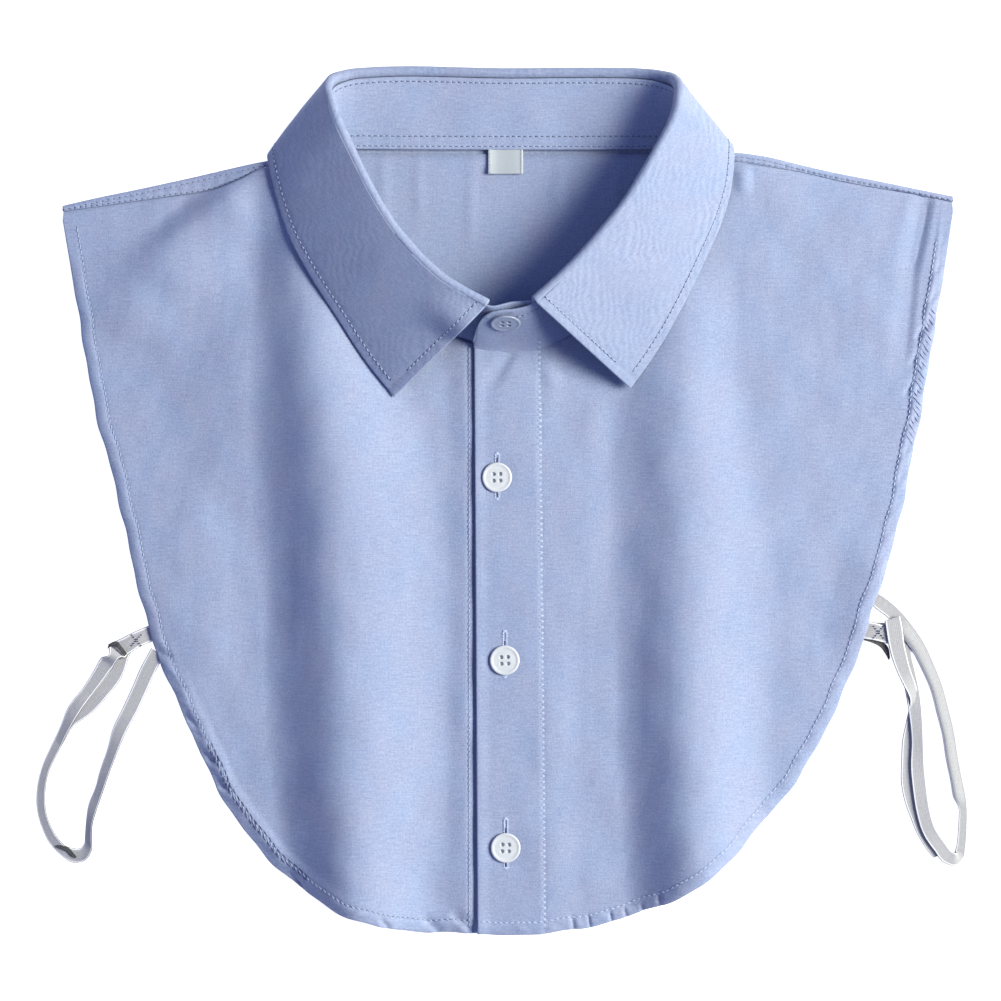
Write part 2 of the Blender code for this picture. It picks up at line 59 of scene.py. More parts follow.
GAP = 0.3              # between a front's top edge and the shoulder strip
LAYER = 1.3            # from the middle of one panel to the middle of the next
BACK_MID = 0.5         # height of the back's middle surface
FRONT_MID = 1.8        # height of the fronts' middle surfaces
LEAF_ROOM = 1.7        # how far the panels rise over the leaf at the nape
NAPE_LEAD = 5.0        # how much earlier the fronts begin to rise than the back
NECK_PULL = 1.1        # how far the stand pulls the fronts up at the collar button
ROLL_RADIUS = 1.6      # the collar's turn, between stand and leaf
ROLL_HEIGHT = 4.6      # from the fold down to the seam between stand and leaf
STAND_HEIGHT = 33.0    # the stand's height, from which its rows' spacing is taken
LEAF_FALL = 40.0       # the leaf's length from turn to edge, for its rows' spacing
LEAF_BULGE = 1.8       # how far the leaf's crown stands off a straight fall
CROWN_FROM = (5.0, 14.0)     # heights of the fold between which the crown grows
LEFT_CROWN = 4.0       # how much further it does so next to the leaf's left end
BACK_INSET = 3.5       # how far the back's hem lies inside the fronts' edges
FOOT_RUN = 4.0         # how far the stand's foot runs out onto the fronts
DIMPLE_DEPTH = 0.8     # how far each button pulls the placket down
DIMPLE_REACH = 11.5    # how far from a button's middle its hollow ends
HEM_WIDTH = 6.6        # from a front's edge to the inner edge of its turned hem
HEM_STITCH = 5.3       # from a front's edge to its row of stitches
HEM_RISE = 0.22        # how far the turned hem stands above the panel
PLACKET_RISE = 0.34    # how far the over placket stands above its front
PLACKET_FACE = 0.4     # from the placket's middle to the face that the buttons lie on
UNDER_FOLD = -15.8     # x of the fold along the under placket
UNDER_STITCH = -16.4   # x of the stitch row along the under placket
LEAF_STITCH = 4.1      # from the leaf's edge and its ends to their row of stitches
TAPE_HALF = 0.36       # half of an elastic's thickness
SHADE_SHEET_WIDTH = 2.0     # width of the dark sheets of painted shade in the elastics' folds
SHADE_SHEET_HALF = 0.15     # and half of its thickness

LEFT_FRONT = [
    # top_x, top_y, hem_x, hem_y
    (-186.4, 121.2, -187.0, 117.5), (-172.0, 123.2, -182.3, 89.5), (-154.0, 125.8, -174.3, 42.4),
    (-137.0, 128.2, -161.3, -8.5), (-122.0, 130.6, -150.0, -57.0), (-112.0, 134.6, -137.0, -88.5),
    (-104.0, 138.8, -121.4, -122.2), (-96.0, 140.6, -99.5, -152.5), (-89.0, 141.0, -82.0, -165.5),
    (-82.6, 139.8, -71.0, -171.6), (-80.9, 131.4, -61.5, -175.5), (-74.9, 116.2, -51.0, -178.4),
    (-63.0, 99.2, -41.0, -180.0), (-48.0, 83.1, -31.0, -181.1), (-30.1, 71.4, -21.5, -181.4),
    (-14.2, 66.2, -12.0, -181.5), (13.9, 65.6, 13.9, -181.8),
]
RIGHT_FRONT = [
    # top_x, top_y, hem_x, hem_y
    (186.4, 125.2, 187.0, 121.0), (172.0, 128.2, 181.9, 87.0), (154.0, 131.2, 175.1, 46.6),
    (138.0, 134.2, 164.5, -8.0), (123.0, 137.6, 152.5, -47.9), (112.0, 139.4, 139.5, -84.0),
    (103.0, 140.8, 125.0, -112.0), (95.0, 142.0, 103.0, -139.5), (87.0, 142.4, 85.0, -157.3),
    (80.6, 140.4, 70.0, -166.2), (78.2, 131.2, 60.0, -171.2), (73.0, 116.0, 50.0, -174.9),
    (61.0, 99.2, 41.0, -177.4), (46.3, 84.0, 32.0, -179.2), (29.4, 71.2, 23.0, -180.6),
    (13.0, 65.6, 11.0, -181.9), (-14.2, 65.0, -12.8, -182.3),
]
LEFT_SHOULDER = [
    # x, y of the shoulder fold, from the tip to the neck
    (-186.8, 123.4), (-171.0, 127.0), (-154.5, 130.4), (-137.0, 134.2),
    (-120.0, 138.0), (-105.0, 141.2), (-94.0, 142.9), (-82.4, 142.2),
]
RIGHT_SHOULDER = [
    (186.8, 127.3), (173.0, 130.1), (156.0, 133.6), (139.0, 136.9),
    (122.6, 140.5), (106.0, 144.2), (94.0, 145.4), (80.4, 142.8),
]
FOLDS = {
    # y, the crest's x, its height, how far its left and right flanks reach
    "left": [
        (-190.0, -62.5, 13.0, 29.0, 34.0), (-155.0, -64.0, 13.2, 30.0, 36.0),
        (-125.0, -65.8, 13.2, 33.0, 42.0), (-84.0, -66.5, 12.8, 36.0, 44.0),
        (-42.0, -69.0, 12.2, 35.0, 46.0), (0.0, -71.0, 12.0, 37.0, 44.0),
        (42.0, -76.0, 10.8, 33.0, 40.0), (63.0, -79.5, 9.0, 29.0, 32.0),
        (84.0, -83.0, 6.8, 25.0, 30.0), (105.0, -86.5, 5.8, 23.0, 30.0),
        (122.0, -89.5, 4.6, 19.0, 30.0), (141.0, -93.0, 3.0, 16.0, 28.0),
        (160.0, -95.0, 2.0, 16.0, 26.0),
    ],
    "right": [
        (-190.0, 81.0, 12.6, 31.0, 34.0), (-155.0, 79.2, 12.4, 31.0, 34.0),
        (-125.0, 77.0, 11.4, 31.0, 36.0), (-84.0, 75.2, 10.0, 31.0, 38.0),
        (-42.0, 75.6, 8.8, 33.0, 40.0), (0.0, 75.4, 7.6, 33.0, 36.0),
        (42.0, 73.2, 6.4, 31.0, 30.0), (63.0, 73.2, 5.2, 27.0, 26.0),
        (84.0, 74.0, 3.8, 22.0, 24.0), (105.0, 74.0, 1.0, 20.0, 22.0),
        (120.0, 74.0, 0.0, 18.0, 22.0),
    ],
}
COLLAR = [
    # base_x, base_y, base_z, fold_x, fold_y, fold_z, edge_x, edge_y, edge_z
    (-9.5, 67.9, 3.6, -7.9, 81.6, 29.4, -47.7, 43.5, 5.9),
    (-29.7, 72.6, 3.4, -26.7, 92.7, 29.2, -59.9, 59.0, 8.3),
    (-47.3, 84.1, 2.9, -41.5, 107.2, 28.4, -70.3, 74.9, 10.2),
    (-64.5, 103.2, 2.7, -54.3, 126.1, 27.8, -84.6, 97.5, 9.7),
    (-75.8, 121.4, 3.0, -63.5, 144.3, 27.1, -92.5, 113.5, 9.0),
    (-79.9, 133.6, 4.4, -70.1, 158.9, 25.0, -97.6, 130.5, 8.4),
    (-80.0, 139.4, 4.6, -72.7, 167.1, 21.4, -99.6, 139.5, 6.9),
    (-78.5, 143.8, 4.6, -74.2, 172.8, 16.2, -100.4, 145.0, 3.4),
    (-75.5, 146.2, 4.4, -72.9, 176.7, 11.6, -97.0, 147.4, 1.4),
    (-70.0, 147.0, 3.9, -68.0, 179.3, 7.6, -89.0, 143.6, 0.7),
    (-60.0, 147.3, 3.4, -58.0, 180.9, 4.7, -72.0, 138.6, 0.6),
    (-45.3, 147.2, 3.2, -45.2, 181.6, 3.1, -50.0, 136.3, 0.6),
    (-3.4, 147.1, 3.2, -3.4, 180.9, 2.6, -3.4, 135.4, 0.6),
    (41.1, 147.1, 3.2, 41.0, 181.0, 3.1, 46.0, 136.3, 0.6),
    (56.0, 147.2, 3.4, 54.5, 180.5, 4.7, 67.0, 138.6, 0.6),
    (66.0, 146.9, 3.9, 63.4, 178.9, 9.0, 83.0, 144.6, 0.7),
    (72.0, 146.0, 4.4, 68.3, 176.5, 14.0, 91.0, 149.0, 1.4),
    (75.6, 143.4, 4.6, 70.0, 172.8, 19.4, 94.2, 148.6, 3.4),
    (77.1, 139.4, 4.6, 69.4, 166.3, 23.0, 94.4, 142.0, 5.6),
    (77.4, 133.6, 4.4, 67.5, 158.9, 23.8, 93.4, 132.3, 6.4),
    (73.9, 121.4, 3.0, 60.4, 145.0, 26.2, 89.6, 117.6, 6.4),
    (65.3, 106.8, 2.7, 50.8, 128.4, 27.4, 81.6, 99.2, 7.0),
    (48.6, 88.0, 2.9, 38.5, 112.0, 28.4, 70.8, 77.4, 7.6),
    (28.9, 72.4, 4.0, 25.4, 97.2, 29.0, 61.5, 61.5, 6.6),
    (11.3, 66.6, 4.9, 10.2, 82.8, 30.4, 51.1, 46.9, 5.8),
]
UNDER_END = [
    # base_x, base_y, base_z, top_x, top_y, top_z
    (13.5, 67.3, 3.6, 13.0, 82.4, 24.8),
    (2.0, 67.4, 3.6, 2.0, 81.9, 24.8),
]
OVER_END = [
    (3.0, 66.2, 4.9, 3.0, 79.0, 25.6),
    (-4.0, 66.0, 4.9, -4.0, 78.2, 25.0),
    (-8.6, 65.9, 4.9, -8.6, 77.0, 23.6),
    (-11.8, 65.9, 4.9, -11.7, 74.7, 20.0),
    (-13.6, 65.9, 4.9, -13.4, 71.4, 14.4),
    (-14.4, 65.9, 4.9, -14.4, 68.2, 8.8),
]

# ------------------------------------------------- wrinkles and seams of the cloth

# Soft ridges and troughs, each along a line; left and right are as one walks it.
WRINKLES = {
    # from_x, from_y, to_x, to_y, left reach, right reach, height
    "left": [
        (-151.0, 99.0, -103.0, 135.0, 13.0, 30.0, 4.7),
        (-158.0, 66.0, -150.0, 106.0, 24.0, 38.0, 2.4),
        (-104.0, 90.0, -102.0, 0.0, 80.0, 46.0, 3.0),
        (-161.0, 20.0, -151.0, -66.0, 30.0, 22.0, 1.4),
        (-134.0, 10.0, -124.0, -84.0, 20.0, 26.0, 2.0),
        (-148.0, -62.8, -140.5, -65.8, 2.6, 1.8, -0.9),
        (-142.0, -81.5, -134.0, -85.5, 2.2, 2.2, 0.5),
        (-137.5, -88.6, -129.4, -95.2, 3.4, 1.8, -1.3),
        (-130.6, -104.8, -122.8, -109.6, 3.4, 1.8, -1.2),
        (-123.6, -117.0, -116.6, -122.2, 3.4, 1.8, -1.1),
        (-112.0, -132.0, -106.0, -136.0, 3.4, 2.0, -0.6),
        (-91.0, -156.0, -87.0, -161.0, 2.4, 1.6, -0.9),
        (-87.4, -158.6, -84.8, -163.6, 2.0, 1.6, -1.1),
        (-53.4, -173.6, -49.4, -178.8, 2.6, 1.5, -1.2),
        (-37.0, -174.0, -28.0, -181.6, 4.5, 2.0, -1.1),
        (-24.0, -172.8, -13.0, -181.8, 5.5, 2.4, -1.2),
    ],
    "right": [
        (176.8, 133.0, 169.6, 96.0, 4.6, 9.0, -1.5), (170.5, 104.0, 165.5, 56.0, 4.0, 9.0, -0.8),
        (177.0, 76.0, 171.0, 68.0, 2.2, 2.2, -0.8), (175.5, 66.0, 168.5, 57.0, 2.2, 2.2, -0.9),
        (173.0, 54.0, 166.0, 44.0, 2.2, 2.2, -0.8), (98.0, 140.0, 99.0, 128.0, 5.0, 5.0, 1.0),
        (33.0, 60.0, 28.0, -60.0, 14.0, 14.0, 0.9), (26.6, -173.6, 27.6, -180.6, 2.2, 1.4, -0.9),
        (33.6, -173.2, 34.4, -179.2, 1.4, 1.2, -0.7),
        (42.6, -172.0, 43.8, -178.0, 1.6, 1.2, -0.9),
        (48.6, -170.4, 50.0, -176.2, 1.6, 1.2, -0.8),
        (55.6, -168.4, 57.4, -173.8, 1.8, 1.2, -0.8),
        (63.0, -163.0, 63.6, -171.0, 1.8, 1.2, -0.9), (4.0, 66.0, -8.0, 47.0, 4.0, 6.0, -0.8),
        (14.0, 60.0, 20.0, 46.0, 6.0, 5.0, 0.5), (158.0, -18.0, 148.0, -66.0, 8.0, 20.0, 2.4),
    ],
    "back": [
        (-53.0, 146.0, -51.0, 112.0, 4.0, 4.0, 0.45),
        (-38.0, 146.0, -37.0, 116.0, 3.6, 3.6, 0.35),
        (-15.0, 146.0, -16.0, 100.0, 4.0, 4.0, 0.35), (22.0, 146.0, 20.0, 118.0, 4.0, 4.0, 0.3),
        (47.0, 146.0, 44.0, 116.0, 4.0, 4.0, 0.35),
    ],
}

# ------------------------------------------------------------ the two side elastics

# Each row gives the tape's two edges in plan, the height of its lower edge, how far an
# edge stands up (the second one above 0, the first one below) and its lengthwise ridge.
# The last two are left out where they are 0.
LEFT_ELASTIC = [
    # first_x, first_y, second_x, second_y, height, standing, ridge
    (-155.4, -54.6, -153.9, -61.1, 0.4), (-159.6, -56.5, -157.5, -62.6, 0.4),
    (-163.8, -60.5, -158.8, -65.1, 0.4), (-166.5, -68.9, -161.7, -73.4, 0.4, 0.2),
    (-172.6, -77.7, -167.7, -81.6, 0.4, 0.2), (-178.7, -84.8, -174.5, -89.0, 0.4, 0.2),
    (-185.4, -91.1, -182.5, -94.9, 0.4, 0.2), (-188.6, -96.6, -185.4, -99.5, 0.4, 0.2),
    (-192.2, -103.7, -188.8, -105.8, 0.4, 0.2), (-196.0, -113.0, -192.6, -114.0, 0.4, 0.2),
    (-197.8, -122.1, -194.0, -122.1, 0.4, 0.2), (-197.4, -131.0, -193.6, -130.6, 0.4, 0.2),
    (-195.5, -137.3, -191.9, -135.9, 0.4, 0.2), (-192.4, -143.6, -189.2, -140.7, 0.4, 0.2),
    (-188.0, -148.3, -185.6, -144.5, 0.5, 0.2), (-182.7, -151.8, -182.1, -145.7, 0.6),
    (-177.2, -150.8, -179.5, -145.7, 0.5, -0.4), (-174.5, -146.6, -177.9, -143.8, 0.4, -0.4),
    (-174.4, -141.1, -177.5, -140.7, 0.4, -0.4), (-174.1, -135.7, -177.1, -134.8, 0.4, -0.4),
    (-172.1, -128.9, -176.0, -127.3, 0.4, -0.4), (-169.5, -121.4, -173.0, -119.7, 0.4, -0.4),
    (-167.7, -116.1, -171.6, -114.2, 0.4, -0.4), (-164.0, -106.3, -168.2, -104.2, 0.4, -0.4),
    (-160.3, -97.4, -165.9, -95.5, 0.4, -0.4), (-155.8, -89.0, -161.7, -86.7, 0.4, -0.4),
    (-152.0, -80.9, -157.9, -78.5, 0.4, -0.4), (-148.3, -72.7, -154.1, -69.7, 0.4, -0.4),
    (-146.4, -68.7, -151.6, -65.1, 0.4), (-144.5, -65.3, -149.7, -61.7, 0.4),
]
LEFT_DOUBLED = [
    (-149.5, -51.7, -148.0, -58.4, 0.5), (-152.2, -52.9, -150.8, -59.6, 0.7),
    (-157.5, -55.2, -155.0, -61.5, 1.3), (-162.5, -57.8, -157.7, -63.4, 1.4),
    (-166.1, -59.4, -159.8, -64.9, 1.5), (-167.6, -60.3, -160.5, -66.0, 2.3),
    (-167.2, -61.5, -161.1, -65.7, 3.1), (-170.8, -65.9, -165.9, -70.3, 2.4),
    (-173.9, -71.4, -170.1, -75.8, 2.0), (-178.1, -78.1, -174.7, -81.7, 1.7),
    (-184.3, -86.1, -179.8, -89.2, 1.5, 0.4), (-187.9, -94.9, -184.4, -97.0, 1.0, 0.3),
    (-191.3, -102.1, -188.1, -104.4, 0.1, 0.2),
]
RIGHT_ELASTIC = [
    (148.5, -57.1, 149.5, -50.6, 0.4), (153.7, -57.8, 154.6, -51.0, 0.4),
    (158.8, -58.8, 161.3, -51.7, 0.4), (161.5, -60.5, 166.7, -53.8, 0.4),
    (163.0, -62.6, 169.5, -58.0, 0.4), (163.4, -65.1, 169.6, -63.4, 0.4),
    (165.1, -71.8, 171.2, -71.0, 0.4), (167.0, -82.3, 173.2, -81.9, 1.6, 0.2),
    (168.4, -91.6, 174.0, -92.2, 1.6, 0.2), (169.2, -100.4, 174.3, -101.0, 1.6, 0.2),
    (168.8, -111.3, 174.8, -110.9, 1.6, 0.2), (169.7, -121.4, 175.8, -120.3, 1.6, 0.2),
    (171.2, -130.6, 177.0, -128.9, 1.6, 0.2), (173.9, -139.4, 179.1, -136.5, 1.6, 0.2),
    (178.5, -146.4, 183.3, -143.0, 1.6), (183.5, -152.0, 186.3, -146.8, 1.6),
    (188.4, -152.9, 187.9, -147.6, 1.6), (191.3, -150.2, 187.6, -147.2, 0.5),
    (192.2, -145.7, 188.2, -144.9, 0.4), (192.7, -140.3, 188.8, -139.9, 0.4),
    (192.9, -134.8, 189.1, -134.6, 0.4), (192.9, -128.9, 189.1, -128.9, 0.4),
    (192.4, -123.1, 186.8, -124.3, 0.8, 0.0, 0.7), (191.0, -116.3, 185.6, -117.8, 0.8, 0.0, 0.7),
    (189.3, -107.1, 183.7, -108.5, 0.8, 0.0, 0.7), (187.7, -96.6, 182.1, -98.2, 0.8, 0.0, 0.7),
    (185.4, -86.9, 179.7, -88.8, 0.8, 0.0, 0.7), (182.8, -77.3, 177.2, -79.3, 0.8, 0.0, 0.7),
    (179.1, -67.8, 173.4, -70.5, 0.8, 0.0, 0.7), (175.1, -59.2, 169.2, -62.5, 0.8, 0.0, 0.7),
    (169.7, -51.2, 163.7, -55.2, 0.8, 0.0, 0.7), (164.1, -44.9, 160.1, -49.7, 0.4),
    (157.9, -39.7, 154.6, -45.3, 0.4), (152.3, -36.5, 150.4, -41.8, 0.4),
    (148.7, -34.4, 146.6, -39.9, 0.4),
]
RIGHT_TAIL = [
    (157.8, -50.1, 164.5, -48.1, 2.4), (158.5, -55.0, 165.5, -53.3, 2.5),
    (159.4, -60.1, 166.1, -58.8, 2.4), (160.8, -65.5, 167.2, -63.8, 2.0),
    (163.0, -71.4, 168.6, -69.7, 1.6), (165.7, -77.3, 170.6, -75.6, 1.4, -0.3),
    (168.2, -82.7, 172.0, -81.7, 1.3, -0.3), (167.2, -92.0, 172.6, -92.0, 0.4),
    (165.5, -100.4, 171.4, -100.4, 0.4), (165.1, -108.8, 170.9, -108.8, 0.4),
    (165.1, -119.3, 170.5, -119.3, 0.4), (166.7, -126.8, 172.2, -125.7, 0.4),
    (169.0, -133.1, 173.9, -131.0, 0.4), (172.0, -140.3, 176.4, -138.3, 0.4),
    (175.3, -145.7, 178.9, -144.1, 0.4), (178.5, -149.9, 181.4, -148.6, 0.4),
]
RIGHT_TAB = [
    (145.3, -56.9, 146.2, -49.6, 0.5), (148.3, -57.8, 149.1, -50.2, 0.8),
    (152.9, -58.4, 153.7, -50.8, 1.3), (157.9, -59.6, 158.8, -52.5, 1.4),
    (163.0, -60.5, 163.8, -54.2, 1.4),
]

PAINTED_FOLD_SHADES = {
    # painted shade: dark sheets in the elastics' folds and twists, and a painted shadow under the
    # right tab, in rows like the tapes' own
    "elastic_left_fold_painted_shade": [
        (-167.8, -61.9, -167.6, -60.9, 2.9), (-165.9, -60.8, -165.9, -59.1, 3.5),
        (-164.2, -61.1, -163.8, -58.7, 3.7), (-162.5, -62.6, -161.5, -61.1, 3.7),
        (-160.7, -65.1, -159.4, -64.0, 3.4),
    ],
    "elastic_left_twist_painted_shade": [
        (-189.4, -145.1, -189.4, -144.3, 1.6), (-186.9, -146.2, -186.5, -144.5, 1.7),
        (-184.8, -147.2, -184.0, -145.5, 1.7), (-183.1, -148.9, -182.1, -147.6, 1.7),
        (-181.4, -149.9, -180.8, -149.2, 1.6),
    ],
    "elastic_right_tab_painted_shadow": [
        (148.3, -58.2, 148.7, -57.1, 0.5), (152.5, -59.4, 152.9, -57.8, 0.6),
        (156.2, -61.3, 157.1, -59.0, 0.6), (158.1, -63.8, 159.6, -61.5, 0.6),
        (159.8, -66.8, 160.4, -65.9, 0.5),
    ],
}

# --------------------------------------------------------------- buttons and label

BUTTONS = [
    # name, x, y, turn in degrees, buttonhole's reach above and below the middle
    ("button_1", -4.6, 9.9, 0.0, 10.3, 9.4),
    ("button_2", -1.4, -66.7, 2.0, 12.5, 7.3),
    ("button_3", -1.0, -145.2, -2.0, 12.5, 8.9),
]
STAND_BUTTON = ("button_collar", -1.1, 0.69)   # name, x, share of the stand's height
HOLE_OFFSET = 1.38     # of a button's four sewing holes, across and up from its middle
HOLE_DEPTH = 1.15
BAR_PITCH = 0.34       # from one satin bar of a buttonhole to the next
BAR_INSIDE, BAR_OUTSIDE = 0.30, 1.35   # the bars' ends, from the buttonhole's middle
TACK_BARS, TACK_PITCH = 4, 0.24        # the bars across each end of a buttonhole
SLIT_PITCH = 0.4       # from one dark dot of a slit's painted shade to the next
LABEL_BOX = (-8.4, 136.9, 6.3, 146.2)   # left, bottom, right, top
LABEL_SEWN_IN = 1.5    # how much of the label goes on into the neck seam
LABEL_LIFT = 0.85      # from the back's middle surface to the label's
HEMS = {
    # y, slanting puckers, depth and reach of the rolled edge, height of the welt
    "left": [
        (-190.0, 0.35, 1.1, 3.3, 0.0), (-168.0, 0.5, 1.2, 4.0, 0.2), (-150.0, 0.6, 1.3, 5.0, 0.9),
        (-105.0, 1.0, 1.3, 5.0, 0.9), (-70.0, 0.7, 1.2, 4.0, 0.2), (-50.0, 0.25, 1.1, 3.3, 0.0),
        (140.0, 0.15, 0.9, 3.3, 0.0),
    ],
    "right": [
        (-190.0, 0.35, 1.0, 3.3, 0.0), (-100.0, 0.7, 1.0, 3.3, 0.1), (0.0, 0.9, 1.0, 3.3, 0.3),
        (35.0, 1.7, 1.0, 3.3, 0.5), (80.0, 1.7, 1.1, 3.3, 0.5), (115.0, 0.4, 1.0, 3.3, 0.4),
        (140.0, 0.1, 0.9, 3.3, 0.0),
    ],
}
STAND_ROWS = (5.6, 1.4, 2.1)   # two rows of stitches up from the foot, one down from the top
HEM_THREADS = {
    "left": {"radius": 0.26, "lift": 0.16, "slant": 0.35},
    "right": {
        "radius": 0.24, "lift": 0.12, "slant": 0.12, "hole": 0.12, "thread": "buttonhole_thread",
    },
}
BLOBS = {"radius": 2.0, "lift": 0.0, "sink": 1.58, "fill": 0.8}   # wide low stitches
HEM_SHARES = (
    # rows of the turned hem, as shares of its width from the edge
    0.93, 0.87, 0.81, 0.75, 0.69, 0.60, 0.5, 0.4, 0.3, 0.21, 0.14, 0.085, 0.04, 0.012, 0.0,
)
STRIP_SHARES = (
    # rows of the shoulder strips, as shares of the way from the fold to the seam
    0.07, 0.14, 0.22, 0.31, 0.42, 0.54, 0.66, 0.77, 0.86, 0.93, 0.975, 1.0,
)
SHOULDER_COLUMNS = 96  # of the back's grid, at each shoulder
NECK_COLUMNS = 112     # and between them
WELT = {
    # a hem's welt: its distance from the edge, its reach, the groove along its stitches
    "left": (5.6, 4.5, 0.30), "right": (4.5, 1.6, 0.10),
}
UP = (0.0, 0.0, 1.0)
CREASE_SHADES = ((0.17, 0.20, 0.34), (0.12, 0.145, 0.27))   # painted shadows of the hem's crease lines: a light and a dark shade
FOLD_SHADE = (0.07, 0.07, 0.075)       # painted shade: the dark sheets in the elastics' folds, and the line along each tape's edge
FOLD_DEPTH = (0.03, 0.03, 0.035)       # and its darkest shade

# ----------------------------------------------------------------------- helpers


def step(value, start, end):
    """0 at start, 1 at end, and a smooth S between them."""
    share = np.clip((value - start) / (end - start), 0.0, 1.0)
    return share * share * (3.0 - 2.0 * share)


def hill(distance, reach):
    """1 at no distance, falling in half a cosine wave to 0 at reach."""
    return 0.5 + 0.5 * np.cos(np.pi * np.clip(np.abs(distance) / reach, 0.0, 1.0))


def sine(run, length, shift=0.0):
    """A sine wave of a run, with its length in the run's own units."""
    return np.sin(2.0 * np.pi * run / length + shift)


def unit(vectors):
    """The vectors, each brought to length 1."""
    return vectors / np.maximum(np.linalg.norm(vectors, axis=-1, keepdims=True), 1e-12)


def run_length(points):
    """Length along a row of points, from 0 at the first one."""
    steps = np.linalg.norm(np.diff(points, axis=0), axis=1)
    return np.concatenate([[0.0], np.cumsum(steps)])


def columns_at(table, places):
    """A table's columns after the first, each read off between rows at the places."""
    return [np.interp(places, table[:, 0], column) for column in table.T[1:]]


def smooth_through(rows, knots, places):
    """Cubic curve through rows, one for each knot, with their own slopes at both ends."""
    rows = np.asarray(rows, float)
    slopes = np.gradient(rows, knots, axis=0)
    low = np.clip(np.searchsorted(knots, places, side="right") - 1, 0, len(knots) - 2)
    width = (knots[low + 1] - knots[low])[:, None]
    t = (places - knots[low])[:, None] / width
    start, end = rows[low], rows[low + 1]
    leave, arrive = slopes[low] * width, slopes[low + 1] * width
    return (
        (2 * t**3 - 3 * t**2 + 1) * start
        + (t**3 - 2 * t**2 + t) * leave
        + (3 * t**2 - 2 * t**3) * end
        + (t**3 - t**2) * arrive
    )


def eased(line, passes=60):
    """A line with its corners eased: each pass moves a point halfway to its neighbours."""
    line = line.copy()
    for _ in range(passes):
        line[1:-1] = 0.25 * line[:-2] + 0.5 * line[1:-1] + 0.25 * line[2:]
    return line


EDGE_STEPS = np.array([0.0, 0.05, 0.16, 0.34, 0.62, 1.0, 1.5])


def spread(total, count, steps=EDGE_STEPS):
    """Places from 0 to total: even ones, with edge steps closing up at both ends."""
    even = np.linspace(steps[-1], total - steps[-1], count - 2 * (len(steps) - 1))
    return np.concatenate([steps[:-1], even, total - steps[:-1][::-1]])


def rounded(distance, radius=0.6, least=0.06):
    """Share of the wall's thickness near an edge: a quarter circle down to the rim."""
    inside = np.clip(distance / radius, 0.0, 1.0)
    return least + (1.0 - least) * np.sqrt(1.0 - (1.0 - inside) ** 2)


WAVES = [
    # wave length, direction in degrees, phase, share
    (61.0, 12.0, 0.3, 1.0),
    (47.0, 104.0, 1.9, 0.8),
    (33.0, 61.0, 4.0, 0.7),
    (27.0, 148.0, 2.2, 0.6),
    (19.0, 33.0, 5.1, 0.35),
    (15.0, 121.0, 0.9, 0.3),
    (11.0, 78.0, 3.3, 0.2),
    (8.3, 165.0, 1.2, 0.14),
]


def uneven(x, y, size, shift=0.0):
    """The cloth's slight unevenness: a sum of bent sine waves, size in millimetres."""
    bent_x = x + 7.0 * np.sin(y / 23.0 + 1.3 + shift)
    bent_y = y + 6.0 * np.sin(x / 31.0 + 0.4 - shift)
    total = np.zeros_like(x)
    for length, turn, phase, share in WAVES:
        angle = math.radians(turn)
        run = bent_x * math.cos(angle) + bent_y * math.sin(angle)
        total += share * sine(run, length, phase + shift)
    return size * total / 2.0


def wrinkle(x, y, row):
    """Height of one wrinkle: a ridge with cosine flanks, dying away at its ends."""
    from_x, from_y, to_x, to_y, left, right, height = row
    along = np.array([to_x - from_x, to_y - from_y])
    length = np.linalg.norm(along)
    along = along / length
    run = ((x - from_x) * along[0] + (y - from_y) * along[1]) / length
    off = (y - from_y) * along[0] - (x - from_x) * along[1]
    ends = step(run, -0.15, 0.3) * (1.0 - step(run, 0.7, 1.15))
    return height * hill(off, np.where(off > 0.0, left, right)) * ends


def wrinkles(x, y, name):
    """All the wrinkles of one panel."""
    return sum(wrinkle(x, y, row) for row in WRINKLES[name])


# ------------------------------------------------------------------ mesh making


def put_mesh(name, points, faces, uv=None):
    """A new object at the origin from points in millimetres and faces of equal size."""
    corners = faces.shape[1]
    mesh = bpy.data.meshes.new(name)
    mesh.vertices.add(len(points))
    mesh.vertices.foreach_set("co", (points * MM).astype(np.float32).ravel())
    mesh.loops.add(faces.size)
    mesh.loops.foreach_set("vertex_index", faces.astype(np.int32).ravel())
    mesh.polygons.add(len(faces))
    mesh.polygons.foreach_set("loop_start", np.arange(len(faces), dtype=np.int32) * corners)
    mesh.update(calc_edges=True)
    mesh.validate()
    if uv is not None:
        layer = mesh.uv_layers.new(name="grain")
        index = np.empty(len(mesh.loops), np.int32)
        mesh.loops.foreach_get("vertex_index", index)
        layer.data.foreach_set("uv", uv[index].astype(np.float32).ravel())
    mesh.shade_smooth()
    obj = bpy.data.objects.new(name, mesh)
    bpy.context.scene.collection.objects.link(obj)
    return obj


def grid_normals(grid):
    """Unit normals of a grid: the column step crossed with the row step."""
    return unit(np.cross(np.gradient(grid, axis=1), np.gradient(grid, axis=0)))


def grid_quads(rows, columns):
    """The four corners of each face of a grid, by number, in rows and columns."""
    index = np.arange(rows * columns).reshape(rows, columns)
    return np.stack([index[:-1, :-1], index[:-1, 1:], index[1:, 1:], index[1:, :-1]], axis=-1)


